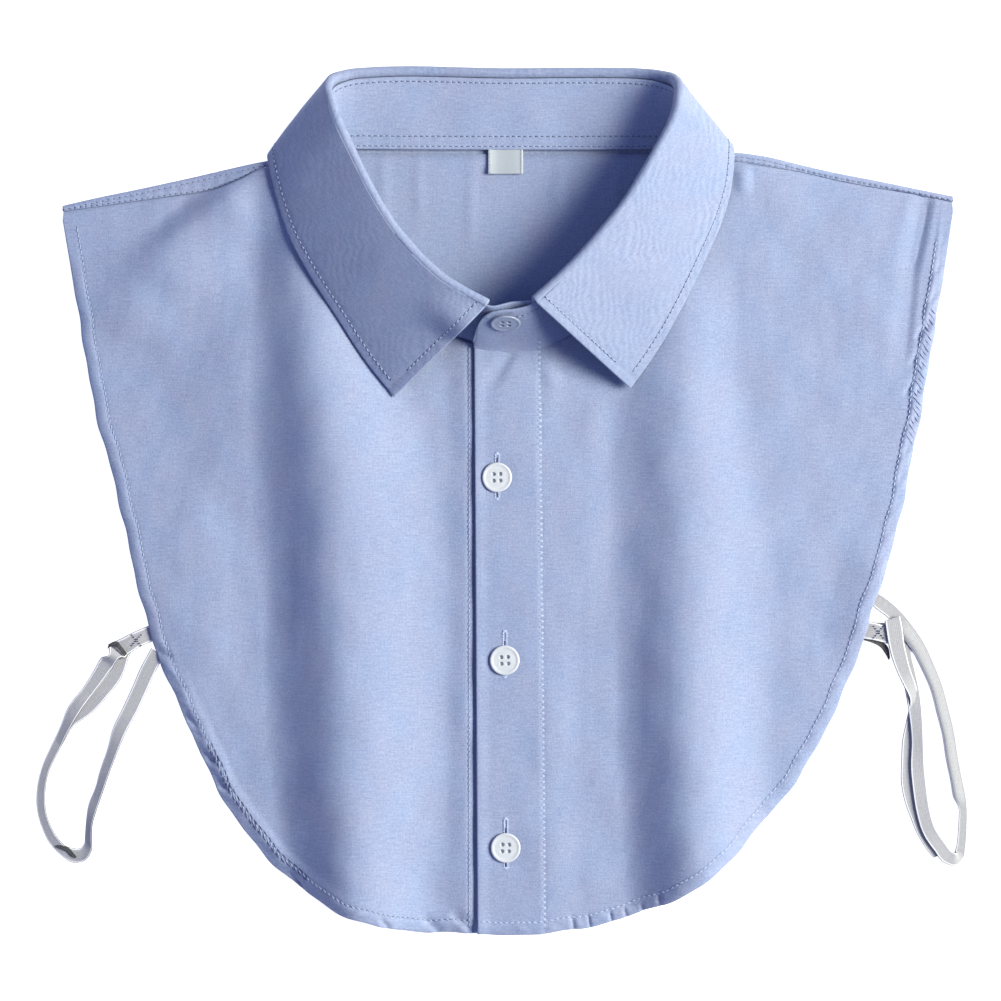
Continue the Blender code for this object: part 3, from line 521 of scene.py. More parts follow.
def shell(name, middle, above, below, uv, keep=None):
    """A closed cloth wall round a grid of middle points.

    The upper face is middle + normal * above and the lower one middle - normal *
    below.  Where a kept face of the grid has no neighbour, a strip joins the two.
    Gives the object, the upper face's points and the normals.
    """
    rows, columns = middle.shape[:2]
    normal = grid_normals(middle)
    above = np.broadcast_to(above, (rows, columns))[..., None]
    below = np.broadcast_to(below, (rows, columns))[..., None]
    upper = middle + normal * above
    lower = middle - normal * below
    quads = grid_quads(rows, columns)
    kept = quads.reshape(-1, 4) if keep is None else quads[keep]
    starts = kept.ravel()
    ends = np.roll(kept, -1, axis=1).ravel()
    total = rows * columns
    lone = ~np.isin(starts * total + ends, ends * total + starts)
    start, end = starts[lone], ends[lone]
    rim = np.stack([end, start, start + total, end + total], axis=-1)
    faces = np.concatenate([kept, kept[:, ::-1] + total, rim])
    points = np.concatenate([upper.reshape(-1, 3), lower.reshape(-1, 3)])
    uv = np.concatenate([uv.reshape(-1, 2)] * 2)
    used = np.unique(faces)
    place = np.zeros(2 * total, int)
    place[used] = np.arange(len(used))
    obj = put_mesh(name, points[used], place[faces], uv[used])
    return obj, upper, normal


def line_at(points, normals, field, value, part=np.s_[:], by_row=False):
    """The line on part of a grid where a field takes a value: one point for each column.

    Between the two grid points where the field passes the value, the place is found
    by proportion.  by_row looks along the rows instead.
    """
    points, normals, field = points[part], normals[part], field[part]
    if by_row:
        points, normals = points.swapaxes(0, 1), normals.swapaxes(0, 1)
        field = field.T
    passes = (field[:-1] < value) != (field[1:] < value)
    found = np.flatnonzero(passes.any(axis=0))
    low = passes.argmax(axis=0)[found]
    first, second = field[low, found], field[low + 1, found]
    t = ((value - first) / (second - first))[:, None]
    place = points[low, found] * (1.0 - t) + points[low + 1, found] * t
    across = normals[low, found] * (1.0 - t) + normals[low + 1, found] * t
    return place, unit(across)


def resample(points, normals, places):
    """Points and normals of a line at the given lengths along it."""
    along = run_length(points)
    spot = np.stack([np.interp(places, along, points[:, k]) for k in range(3)], axis=-1)
    turn = np.stack([np.interp(places, along, normals[:, k]) for k in range(3)], axis=-1)
    return spot, unit(turn)


def thread_rings(spots, turns, radius, lift, sink, sides=6):
    """Threads, each a row of rings: thin at both ends, and arched over the cloth.

    spots and turns hold (threads, rings) points and normals.  A ring's middle rises
    by a half sine wave from sink below the cloth to lift above it.
    """
    share = np.linspace(0.0, 1.0, spots.shape[1])[None, :, None]
    arch = np.sin(np.pi * share)
    middle = spots + turns * (lift * arch - sink)
    along = unit(np.gradient(spots, axis=1))
    side = unit(np.cross(along, turns))
    up = np.cross(side, along)
    thick = radius * (0.5 + 0.5 * arch**0.5)
    angle = np.arange(sides) * 2.0 * np.pi / sides
    ring = (
        middle[:, :, None]
        + thick[:, :, None] * np.cos(angle)[None, None, :, None] * side[:, :, None]
        + thick[:, :, None] * np.sin(angle)[None, None, :, None] * up[:, :, None]
    )
    return ring


def rings_mesh(name, ring):
    """Closed tubes from (threads, rings, sides) points, each end closed with quads."""
    count, rings, sides = ring.shape[:3]
    index = np.arange(count * rings * sides).reshape(count, rings, sides)
    after = np.roll(index, -1, axis=2)
    wall = np.stack([index[:, :-1], after[:, :-1], after[:, 1:], index[:, 1:]], axis=-1)
    first = index[:, 0]
    last = index[:, -1]
    start_cap = np.concatenate([first[:, [3, 2, 1, 0]], first[:, [0, 5, 4, 3]]])
    end_cap = np.concatenate([last[:, [0, 1, 2, 3]], last[:, [3, 4, 5, 0]]])
    faces = np.concatenate([wall.reshape(-1, 4), start_cap, end_cap])
    return put_mesh(name, ring.reshape(-1, 3), faces[:, ::-1])


def stitches(lines, pitch, radius=0.19, lift=0.26, sink=0.05, fill=0.80, slant=0.0, rings=5):
    """Rows of running stitches along lines: rings of the threads, and needle places."""
    threads, holes, hole_turns = [], [], []
    for points, normals in lines:
        total = run_length(points)[-1]
        count = max(int(round(total / pitch)), 1)
        length = total / count
        start = (np.arange(count) + (1.0 - fill) / 2.0) * length
        places = start[:, None] + np.linspace(0.0, fill, rings) * length
        spots, turns = resample(points, normals, places.ravel())
        sway = slant * np.tile(np.linspace(-1.0, 1.0, rings), count)[:, None]
        spots = spots + sway * unit(np.cross(np.gradient(spots, axis=0), turns))
        shape = (count, rings, 3)
        spots, turns = spots.reshape(shape), turns.reshape(shape)
        threads.append(thread_rings(spots, turns, radius, lift, sink))
        spot, turn = resample(points, normals, np.arange(count + 1) * length)
        holes.append(spot)
        hole_turns.append(turn)
    return np.concatenate(threads), np.concatenate(holes), np.concatenate(hole_turns)


def needle_holes(name, spots, turns, radius=0.27):
    """Painted shade of the needle holes between stitches: low six-sided dark cones set in the
    cloth.
    """
    helper = np.where(np.abs(turns[:, 2:]) > 0.9, [[1.0, 0.0, 0.0]], [[0.0, 0.0, 1.0]])
    side = unit(np.cross(turns, helper))
    other = np.cross(turns, side)
    angle = np.arange(6) * np.pi / 3.0
    ring = (
        spots[:, None]
        + radius * np.cos(angle)[None, :, None] * side[:, None]
        + radius * np.sin(angle)[None, :, None] * other[:, None]
    )
    tips = [(spots + 0.07 * turns)[:, None], (spots - 0.12 * turns)[:, None]]
    points = np.concatenate([ring, *tips], axis=1)
    base = (np.arange(len(spots)) * 8)[:, None]
    corner = base + np.arange(6)
    after = base + (np.arange(6) + 1) % 6
    top, low = (np.broadcast_to(base + tip, corner.shape) for tip in (6, 7))
    upper = np.stack([corner, after, top], axis=-1)
    under = np.stack([after, corner, low], axis=-1)
    faces = np.concatenate([upper.reshape(-1, 3), under.reshape(-1, 3)])
    return put_mesh(name, points.reshape(-1, 3), faces)


# -------------------------------------------------------------------- materials


def feed(tree, node, inputs):
    """Give a node's inputs, by name or number, their values or links."""
    for key, value in inputs.items():
        if isinstance(value, bpy.types.NodeSocket):
            tree.links.new(value, node.inputs[key])
        else:
            node.inputs[key].default_value = value


def add_node(tree, kind, inputs=None, **settings):
    """The outputs of a new node with its settings and inputs."""
    made = tree.nodes.new(kind)
    for key, value in settings.items():
        setattr(made, key, value)
    feed(tree, made, inputs or {})
    return made.outputs


def math_node(tree, operation, *values):
    """The result of one Math node."""
    return add_node(tree, "ShaderNodeMath", dict(enumerate(values)), operation=operation)[0]


def times(tree, first, second):
    """The product of two values."""
    return math_node(tree, "MULTIPLY", first, second)


def total_of(tree, total, *others):
    """The sum of several values."""
    for other in others:
        total = math_node(tree, "ADD", total, other)
    return total


def wave(tree, value, length):
    """A sine wave of a value, with its length in the value's own units."""
    return math_node(tree, "SINE", times(tree, value, 2.0 * math.pi / length))


def blend_colours(tree, factor, first, second, way="MIX"):
    """The result of mixing two colours."""
    inputs = {0: factor, 6: first, 7: second}
    return add_node(tree, "ShaderNodeMix", inputs, data_type="RGBA", blend_type=way)[2]


def noise(tree, vector, size, detail=2.0, rough=0.5):
    """A noise value for a vector."""
    inputs = {"Vector": vector, "Scale": size, "Detail": detail, "Roughness": rough}
    return add_node(tree, "ShaderNodeTexNoise", inputs)[0]


def grain_noise(tree, grain, across, along, detail=2.0, rough=0.6):
    """Noise on the piece's map, with so many grains to a millimetre each way."""
    scale = {0: grain, 1: (across, along, 1.0)}
    stretched = add_node(tree, "ShaderNodeVectorMath", scale, operation="MULTIPLY")[0]
    return noise(tree, stretched, 1.0, detail, rough)


def span(tree, value, low, high, to_low=0.0, to_high=1.0):
    """A value moved from one range to another, and kept inside it."""
    inputs = {0: value, 1: low, 2: high, 3: to_low, 4: to_high}
    return add_node(tree, "ShaderNodeMapRange", inputs)[0]


def bump(tree, strength, depth_mm, height):
    """A normal tipped by a height, where a height of 1 is so many millimetres."""
    inputs = {"Strength": strength, "Distance": depth_mm * MM, "Height": height}
    return add_node(tree, "ShaderNodeBump", inputs)[0]


def object_place(tree):
    """Places in the piece's own frame, in metres."""
    return add_node(tree, "ShaderNodeTexCoord")["Object"]


def cloth_grain(tree):
    """The piece's map, and its parts across and along."""
    grain = add_node(tree, "ShaderNodeUVMap", uv_map="grain")[0]
    split = add_node(tree, "ShaderNodeSeparateXYZ", {0: grain})
    return grain, split[0], split[1]


def toned(colour, tone):
    """A colour with each part multiplied by a tone."""
    return [part * tone for part in colour]


def opaque(colour, tone=1.0):
    """A toned colour with full alpha."""
    return (*toned(colour, tone), 1.0)


def start_material(name):
    """A new material, its tree and its shader."""
    made = bpy.data.materials.new(name)
    made.use_nodes = True
    return made, made.node_tree, made.node_tree.nodes["Principled BSDF"]


def watered(tree, size):
    """Wavering lines 3 mm apart, where the weaves of two plies lie nearly in step."""
    place = object_place(tree)
    across = add_node(tree, "ShaderNodeSeparateXYZ", {0: place})[0]
    bent = math_node(tree, "MULTIPLY_ADD", noise(tree, place, 70.0), 0.012, across)
    patch = span(tree, noise(tree, place, 45.0, 1.0), 0.38, 0.6, 0.0, size)
    return times(tree, wave(tree, bent, 0.003), patch)


def cloth_material(name, warp, weft, thread_mm, puff, tone, water):
    """Oxford cotton: blue warp and white weft crossing, flecked and slubbed.

    UV is in millimetres along the cloth.  The weave's height is the product of two
    sines a thread apart; longer noise along each thread direction makes the slubs.
    """
    made, tree, shader = start_material(name)
    grain, u, v = cloth_grain(tree)
    weave = times(tree, wave(tree, u, thread_mm), wave(tree, v, thread_mm))
    fleck = grain_noise(tree, grain, 1.25, 1.0, 3.0, 0.65)
    weft_slub = grain_noise(tree, grain, 0.16, 2.1)
    warp_slub = grain_noise(tree, grain, 2.1, 0.14)
    broad = grain_noise(tree, grain, 0.03, 0.03, 3.0, 0.5)
    total = total_of(
        tree, times(tree, weave, 0.22),
        span(tree, fleck, 0.3, 0.7, -0.30, 0.30), span(tree, weft_slub, 0.3, 0.7, -0.17, 0.17),
        span(tree, warp_slub, 0.3, 0.7, -0.09, 0.09), span(tree, broad, 0.3, 0.7, -0.05, 0.05),
    )
    if water:
        total = total_of(tree, total, watered(tree, water))
    share = span(tree, total, -0.6, 0.6)
    mixed = blend_colours(tree, share, opaque(warp, tone), opaque(weft, tone))
    hue = span(tree, grain_noise(tree, grain, 0.065, 0.05, 2.0, 0.5), 0.35, 0.65)
    tint = blend_colours(tree, hue, (0.965, 1.0, 1.015, 1.0), (1.035, 1.0, 0.99, 1.0))
    height = total_of(
        tree, times(tree, weave, 0.35), times(tree, fleck, 0.9), times(tree, weft_slub, 0.7)
    )
    feed(tree, shader, {
        "Base Color": blend_colours(tree, 1.0, mixed, tint, "MULTIPLY"),
        "Normal": bump(tree, 0.55 * puff, 0.16, height),
        "Roughness": span(tree, fleck, 0.3, 0.7, 0.78, 0.92),
        "Sheen Weight": 0.12, "Sheen Roughness": 0.4, "Specular IOR Level": 0.25,
    })
    return made


def thread_material(name, light, dark, size):
    """Sewing thread: two shades in fine uneven bands, with a soft twist in its bump."""
    made, tree, shader = start_material(name)
    band = noise(tree, object_place(tree), size, 2.0, 0.6)
    share = span(tree, band, 0.35, 0.65)
    feed(tree, shader, {
        "Base Color": blend_colours(tree, share, opaque(dark), opaque(light)),
        "Roughness": span(tree, band, 0.3, 0.7, 0.55, 0.75),
        "Normal": bump(tree, 0.4, 0.05, band),
    })
    return made


def button_material(name, colour):
    """Pressed white resin: faint clouds in colour and gloss under a clear polish."""
    made, tree, shader = start_material(name)
    cloud = noise(tree, object_place(tree), 260.0, 4.0, 0.55)
    share = span(tree, cloud, 0.3, 0.7)
    feed(tree, shader, {
        "Base Color": blend_colours(tree, share, opaque(colour, 0.90), opaque(colour)),
        "Roughness": span(tree, cloud, 0.3, 0.7, 0.20, 0.34),
        "Normal": bump(tree, 0.15, 0.05, cloud),
        "Coat Weight": 0.15, "Coat Roughness": 0.2,
    })
    return made


def elastic_material(name, ground, edge):
    """Braided elastic: cross ribs and lengthwise cords in grey, with white edge cords, and a thin
    dark line of painted shade just inside each edge.

    UV runs 0 to 1 across the tape and in millimetres along it.
    """
    made, tree, shader = start_material(name)
    grain, u, v = cloth_grain(tree)
    off = math_node(tree, "ABSOLUTE", math_node(tree, "SUBTRACT", u, 0.5))
    rim = span(tree, off, 0.36, 0.42)
    # A thin dark line just inside each edge: painted shade.
    outline = span(tree, off, 0.455, 0.475)
    rib = wave(tree, math_node(tree, "MULTIPLY_ADD", off, 1.6, v), 0.62)
    cord = wave(tree, u, 1.0 / 9.0)
    braid = times(tree, rib, cord)
    fleck = grain_noise(tree, grain, 6.0, 1.4, 3.0)
    tone = math_node(tree, "MULTIPLY_ADD", braid, 0.14, fleck)
    tone = math_node(tree, "MULTIPLY_ADD", cord, 0.20, tone)
    share = span(tree, tone, 0.15, 0.85)
    colour = blend_colours(tree, share, opaque(ground, 0.60), opaque(ground))
    colour = blend_colours(tree, rim, colour, opaque(edge))
    height = math_node(tree, "MULTIPLY_ADD", rim, 0.7, times(tree, braid, 0.6))
    feed(tree, shader, {
        "Base Color": blend_colours(tree, outline, colour, opaque(FOLD_SHADE)),
        "Normal": bump(tree, 0.6, 0.12, height),
        "Roughness": span(tree, fleck, 0.3, 0.7, 0.6, 0.8),
        "Sheen Weight": 0.1,
    })
    return made


def label_material(name, colour):
    """Woven satin ribbon: long weft floats with a soft gloss, and no lettering."""
    made, tree, shader = start_material(name)
    grain, _, v = cloth_grain(tree)
    floats = grain_noise(tree, grain, 0.8, 4.5)
    tone = math_node(tree, "MULTIPLY_ADD", wave(tree, v, 0.32), 0.12, floats)
    share = span(tree, tone, 0.2, 0.8)
    feed(tree, shader, {
        "Base Color": blend_colours(tree, share, opaque(colour, 0.82), opaque(colour)),
        "Normal": bump(tree, 0.4, 0.05, tone),
        "Roughness": span(tree, floats, 0.3, 0.7, 0.42, 0.6),
        "Sheen Weight": 0.1,
    })
    return made


def floor_material(name, colour):
    """White paper lit from below: it glows evenly, with a barely visible tooth."""
    made, tree, shader = start_material(name)
    tooth = span(tree, noise(tree, object_place(tree), 900.0), 0.3, 0.7)
    mixed = blend_colours(tree, tooth, opaque(colour, 0.99), opaque(colour))
    feed(tree, shader, {
        "Base Color": mixed, "Emission Color": mixed, "Emission Strength": 1.72,
        "Roughness": 0.95, "Specular IOR Level": 0.0,
    })
    return made


def mix_materials(colours, spacing):
    """Every finish by its name in this script, from the user's colours and the weave."""
    blue, white, sewing = colours.warp, colours.weft, colours.thread
    MATERIALS.update({
        "shirt_cloth": cloth_material("shirt_oxford", blue, white, spacing, 1.0, 1.0, 0.0),
        "collar_cloth": cloth_material("collar_oxford", blue, white, spacing, 0.8, 1.0, 0.0),
        # The leaf's copy of the cloth is toned 0.95, darker than the rest: painted shade.
        "leaf_cloth": cloth_material("leaf_oxford", blue, white, spacing, 0.8, 0.95, 0.13),
        "thread": thread_material("sewing_thread", sewing, toned(sewing, 0.8), 1400.0),
        "buttonhole_thread": thread_material(
            "buttonhole_twist", toned(sewing, 1.35), sewing, 900.0
        ),
        "crease_shade": thread_material("crease_shade", *CREASE_SHADES, 900.0),
        "fold_shade": thread_material("fold_shade", FOLD_SHADE, FOLD_DEPTH, 700.0),
        # Painted shade for the needle holes and buttonhole slits; the elastics' tacks and the
        # lower hem's grooves take it too.
        "hole": thread_material("needle_shade", colours.hole, toned(colours.hole, 0.6), 1100.0),
        "button": button_material("button_resin", colours.button),
        # The collar button's darker, bluer copy: partly the blue cloth showing through the
        # translucent resin, partly painted shade.
        "button_painted_shade": button_material("resin_painted_shade", colours.shadowed),
        "elastic": elastic_material("braided_elastic", colours.elastic, colours.elastic_edge),
        "label": label_material("woven_label", colours.label),
        "floor": floor_material("studio_paper", colours.floor),
    })


MATERIALS = {}


def finish_piece(obj, material, nodes=()):
    """Give a piece its material, its body and the nodes it stands for."""
    obj.data.materials.clear()
    obj.data.materials.append(MATERIALS[material])
    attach(obj, "root")
    if nodes:
        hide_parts(*nodes)
    return obj


# ------------------------------------------------------------------------ shapes


def nape_rise(x, y, lead=0.0):
    """How far the panels rise where the leaf passes below them at the nape."""
    up = step(y, 108.0 - lead, 133.0 - lead)
    return LEAF_ROOM * up * step(np.abs(x), 134.0 + lead, 104.0 + lead)


def fold_rise(x, y, name):
    """Height of a front's long fold: a crest line with two unlike cosine flanks."""
    table = np.array(FOLDS[name])
    fine = smooth_through(table, table[:, 0], np.linspace(table[0, 0], table[-1, 0], 240))
    crest, height, left, right = columns_at(fine, y)
    across = x - crest
    return np.maximum(height, 0.0) * hill(across, np.where(across < 0.0, left, right))


def back_height(x, y):
    """Middle surface of the back."""
    return BACK_MID + nape_rise(x, y)


def front_height(x, y, side):
    """Middle surface of a front; the right one laps over the left one."""
    pull = NECK_PULL * hill(np.hypot(x, y - 66.0), 36.0)
    lap = LAYER * (1.0 - step(x, 16.0, 32.0)) if side == "right" else 0.0
    return FRONT_MID + nape_rise(x, y, NAPE_LEAD) + pull + lap + fold_rise(x, y, side)


def placket_line(y):
    """x of the stitch row on the over placket, which widens a little downwards."""
    return 12.8 + 2.5 * (65.0 - y) / 247.0


def dimples(x, y):
    """How far the placket sinks round its buttons: a cosine hollow about each one."""
    away = [np.hypot(x - button_x, y - button_y) for _, button_x, button_y, *_ in BUTTONS]
    return sum(DIMPLE_DEPTH * hill(distance, DIMPLE_REACH) for distance in away)


def front_plan(table, side, columns, rows):
    """Plan of a front, each point's distances from its hem and top edge, and its hem.

    Column lines run from the top edge straight to the inner edge of the hem, and on
    by distance from the edge itself.  The hem is given as the run along it and the
    share of its full width, for each line.
    """
    knots = run_length(table[:, :2]) + run_length(table[:, 2:])
    lines = smooth_through(table, knots, spread(knots[-1], columns, EDGE_STEPS * 2.0))
    top, hem = lines[:, :2], eased(lines[:, 2:])
    run = run_length(hem)
    tangent = unit(np.gradient(hem, axis=0))
    inward = tangent[:, ::-1] * ((-1.0, 1.0) if side == "left" else (1.0, -1.0))
    length = np.linalg.norm(top - hem, axis=1)
    sway = 0.28 * np.sin(run / 5.3 + 0.7) + 0.22 * np.sin(run / 9.1 + 2.1)
    sway += 0.2 * np.sin(run / 2.9)
    hem = hem + inward * (0.25 + sway * step(length, 20.0, 60.0))[:, None]
    band = HEM_WIDTH * step(length, 2.0, 40.0)
    inner = hem + inward * band[:, None]
    share = np.linspace(0.0, 1.0, rows)
    share = (share - 0.62 * sine(share, 1.0) / (2.0 * np.pi))[:, None]
    upper = (1.0 - share[..., None]) * top + share[..., None] * inner
    down = np.array(HEM_SHARES)[:, None]
    lower = hem + inward * band[:, None] * down[..., None]
    fall, fall_length = unit(inner - top), np.linalg.norm(inner - top, axis=1)
    to_hem = np.abs((fall * inward).sum(axis=1))
    far = band + (1.0 - share) * fall_length * to_hem
    hem_gap = np.concatenate([far, band * down])
    top_turn = unit(np.gradient(top, axis=0))
    to_top = np.abs(fall[:, 0] * top_turn[:, 1] - fall[:, 1] * top_turn[:, 0])
    top_gap = np.concatenate([share, np.ones_like(down)]) * fall_length * to_top
    return np.concatenate([upper, lower]), hem_gap, top_gap, run, step(band, 1.0, HEM_WIDTH)


def hem_relief(side, y, closing, hem_gap, run):
    """Relief of a full hem: its second layer, groove, rolled edge, welt and puckers.

    The puckers slant: they are two bent sine waves of the run less 0.9 of the distance
    from the edge.
    """
    size, depth, reach, welt = columns_at(np.array(HEMS[side]), y)
    welt_gap, welt_reach, groove = WELT[side]
    clear = step(closing, 4.0, 22.0)
    relief = HEM_RISE * (1.0 - step(hem_gap, HEM_STITCH - 0.2, HEM_STITCH + 1.0))
    relief -= groove * hill(hem_gap - HEM_STITCH, 1.1)
    relief -= depth * (1.0 - np.clip(hem_gap / reach, 0.0, 1.0)) ** 1.7
    relief += welt * hill(hem_gap - welt_gap, welt_reach) * clear
    slanted = run - 0.9 * hem_gap
    puckers = sine(slanted, 12.4, 1.1 * np.sin(run / 19.0))
    puckers += 0.5 * sine(slanted, 5.9, 0.8 * np.sin(run / 11.0))
    return relief + 0.36 * size * clear * puckers * hill(hem_gap - 2.7, 3.4)


def over_placket(x, y, edge_x):
    """Relief of the over placket: its layer, groove, ripple, dimples and folded edge."""
    seam = placket_line(y)
    relief = PLACKET_RISE * (1.0 - step(x, seam - 0.3, seam + 0.9))
    relief -= PLACKET_RISE * hill(x - seam, 1.15)
    relief += 0.09 * sine(y, 11.0, 1.3 * np.sin(y / 21.0)) * hill(x - seam, 4.5)
    edge = 0.6 + 0.12 * sine(y, 37.0, 1.0)
    return relief - dimples(x, y) + edge * hill(x - edge_x, 6.0)


def under_placket(x):
    """Relief of the under placket: its folded ridge and the groove of its stitches."""
    ridge = 0.9 * hill(x - UNDER_FOLD, np.where(x < UNDER_FOLD, 11.0, 1.6))
    return ridge - 0.25 * hill(x - UNDER_STITCH, 1.0)


def front_surface(table, side, columns=372, rows=96):
    """Grid of a front, its wall's share, each point's distance from the hem, and its map.

    The height is the panel's own, plus its unevenness and wrinkles, and the relief of
    the hem, of the shoulder seam and of the placket.
    """
    table = np.array(table)
    plan, hem_gap, top_gap, run, whole = front_plan(table, side, columns, rows)
    x, y = plan[..., 0], plan[..., 1]
    edge_x = np.interp(y, [table[-1, 3], table[-1, 1]], [table[-1, 2], table[-1, 0]])
    closing = np.abs(x - edge_x)
    height = front_height(x, y, side)
    inside = step(hem_gap, 6.0, 20.0) * step(closing, 10.0, 34.0)
    height += uneven(x, y, 0.30, 0.0 if side == "left" else 2.0) * inside
    height += uneven(x * 1.7, y * 0.8, 0.12, 1.0)
    height += wrinkles(x, y, side)
    height += hem_relief(side, y, closing, hem_gap, run) * whole
    height -= 0.45 * hill(top_gap, 1.6) * step(np.abs(x), 82.0, 88.0)
    height += over_placket(x, y, edge_x) if side == "right" else under_placket(x)
    wall = rounded(hem_gap) * rounded(closing + 0.001)
    height = np.maximum(height, 0.02 + 0.46 * wall)
    grid = np.concatenate([plan, height[..., None]], axis=-1)
    made = (grid, wall, hem_gap, plan)
    return tuple(part[:, ::-1] for part in made) if side == "left" else made


def cad_lines(table, parts=2):
    """A front's column lines as the model itself has them, in parts between its points."""
    table = np.array(table)
    knots = run_length(table[:, :2]) + run_length(table[:, 2:])
    shares = np.arange(parts) / parts
    between = knots[:-1, None] + np.diff(knots)[:, None] * shares
    return smooth_through(table, knots, np.append(between.ravel(), knots[-1]))


def shoulder_columns(fold, front, count):
    """Columns of the back at one shoulder: x, the fold's y and the strip's end's y."""
    fold, front = sorted(fold), front[np.argsort(front[:, 0])]
    fold = np.array(fold)
    x = fold[0, 0] + spread(fold[-1, 0] - fold[0, 0], count)
    fold_y = smooth_through(fold, fold[:, 0], x)[:, 1]
    seam_y = np.interp(x, front[:, 0], front[:, 1]) + GAP
    return np.column_stack([x, fold_y, seam_y])


def back_columns():
    """Each column of the back: its hem, its top at the fold or neckline, its seam's y."""
    left, right = cad_lines(LEFT_FRONT), cad_lines(RIGHT_FRONT)
    at_left = shoulder_columns(LEFT_SHOULDER, left, SHOULDER_COLUMNS)
    at_right = shoulder_columns(RIGHT_SHOULDER, right, SHOULDER_COLUMNS)
    neckline = np.array([row[:2] for row in COLLAR[8:17]]) - (0.0, 1.0)
    along_neck = run_length(neckline)
    places = np.linspace(0.0, along_neck[-1], NECK_COLUMNS)
    neck = smooth_through(neckline, along_neck, places)
    top = np.vstack([at_left[:, :2], neck, at_right[:, :2]])
    seam_y = np.concatenate([at_left[:, 2], neck[:, 1], at_right[:, 2]])
    outline = np.vstack([left[:-4, 2:], right[:-2, 2:][::-1]])
    along = run_length(outline)
    room = np.minimum(along, along[-1] - along)
    inward = np.gradient(outline, along, axis=0)[:, ::-1] * (-1.0, 1.0)
    outline = outline + unit(inward) * BACK_INSET * step(room, -12.0, 24.0)[:, None]
    across = run_length(top)
    hem = smooth_through(outline, along, across / across[-1] * along[-1])
    return hem, top, seam_y


def shoulder_rows(x, fold_y, seam_y):
    """Rows of the back beyond its flat part: round the folds and down the strips.

    A fold is half a circle in y and z.  The strip beyond it dips along its two rows of
    stitches, puffs up between them in a sine wave and follows the long fold below it.
    """
    turn = LAYER / 2.0
    rise = back_height(x, fold_y)
    rows = []
    for angle in np.linspace(0.0, np.pi, 10)[1:]:
        out, up = turn * np.sin(angle), turn * (1.0 - np.cos(angle))
        rows.append(np.column_stack([x, fold_y + out, rise + up]))
    wide = fold_y - seam_y
    follow = fold_rise(x, seam_y, "left") * (x < 0.0)
    for part in STRIP_SHARES:
        strip_y = fold_y * (1.0 - part) + seam_y * part
        dip = 0.26 * hill(wide * part - 1.1, 0.8) + 0.45 * hill(wide * (1.0 - part), 1.2)
        puff = 0.125 * sine(x, 5.1) * math.sin(math.pi * part)
        lift = rise + LAYER + 0.15 + puff - dip + follow * part
        rows.append(np.column_stack([x, strip_y, lift]))
    return np.stack(rows)


def back_surface():
    """Grid of the back, its wall's share, its kept faces and the last row that lies flat.

    It goes from its hem up, over the shoulder folds and down the strips to the seams.
    The neck's columns stop at the neckline.
    """
    hem, top, seam_y = back_columns()
    fold = top - (0.0, LAYER / 2.0)
    near_hem, inside = [0.0, 0.0004, 0.0014, 0.003], np.linspace(0.006, 1.0, 60) ** 0.85
    share = np.concatenate([near_hem, inside])[:, None, None]
    plan = (1.0 - share) * hem + share * fold
    x, y = plan[..., 0], plan[..., 1]
    flat = back_height(x, y) + wrinkles(x, y, "back") * step(y, 96.0, 120.0)
    flat_rows = np.concatenate([plan, flat[..., None]], axis=-1)
    grid = np.concatenate([flat_rows, shoulder_rows(top[:, 0], fold[:, 1], seam_y)])
    last_flat = len(share) - 1
    keep = np.ones((grid.shape[0] - 1, grid.shape[1] - 1), bool)
    keep[last_flat:, SHOULDER_COLUMNS - 1:SHOULDER_COLUMNS + NECK_COLUMNS] = False
    across = run_length(top)
    wall = np.tile(rounded(np.minimum(across, across[-1] - across)), (len(grid), 1))
    wall[:4] *= np.array([0.1, 0.5, 0.8, 0.95])[:, None]
    wall[-1] *= 0.4
    return grid, wall, keep, last_flat


def collar_lines(count=470):
    """The collar's lines, each with a point for every fine station.

    The turn's centre lies its radius below the fold, along the bisector of the stand
    and the leaf; the seam is where the stand side of the turn has run down the rest
    of the roll's height.
    """
    table = np.array(COLLAR)
    knots = run_length(table[:, :3]) + run_length(table[:, 3:6]) + run_length(table[:, 6:])
    lines = smooth_through(table, knots, spread(knots[-1], count, EDGE_STEPS * 2.6))
    foot, fold, edge = lines[:, :3], lines[:, 3:6], lines[:, 6:]
    along = unit(np.gradient(fold, axis=0))
    outward = unit(unit(fold - foot) - unit(edge - fold))
    inward = unit(np.cross(along, outward))
    centre = fold - ROLL_RADIUS * outward
    stand_side = centre + ROLL_RADIUS * inward
    up_stand = unit(stand_side - foot)
    seam = stand_side - (ROLL_HEIGHT - ROLL_RADIUS * math.pi / 2) * up_stand
    slant = np.linalg.norm(np.cross(along, up_stand), axis=1, keepdims=True)
    crown = np.where(fold[:, :1] > 0.0, -0.15, 0.7)
    return {
        "foot": foot, "fold": fold, "edge": edge, "centre": centre, "outward": outward,
        "inward": inward, "seam": seam, "stand_top": seam - 0.3 / slant * up_stand,
        "bulge": LEAF_BULGE * step(fold[:, 2:], *CROWN_FROM) * crown,
    }


def run_down(grid):
    """Length down each column of a grid, from 0 at its first row."""
    steps = np.linalg.norm(np.diff(grid, axis=0), axis=2)
    return np.concatenate([np.zeros((1, grid.shape[1])), np.cumsum(steps, axis=0)])


def run_across(grid):
    """Length along each row of a grid, from 0 at its first column."""
    return run_down(grid.swapaxes(0, 1)).T


def stand_relief(across, up, down, front):
    """Relief of the stand: a slow ripple, grooves at its stitches, and their puckers."""
    ripple = sine(across, 27.0, 1.5 * np.sin(across / 41.0))
    foot_row, second_row, top_row = STAND_ROWS
    grooves = hill(up - foot_row, 0.9) + hill(up - second_row, 0.9)
    relief = 0.16 * ripple * hill(up - 12.0, 14.0)
    relief -= 0.16 * grooves * (1.0 - front) + 0.14 * hill(down - top_row, 0.9)
    pucker = sine(across, 5.3)
    return relief + 0.05 * pucker * (hill(up - 4.5, 3.5) + hill(down - 2.0, 3.0))


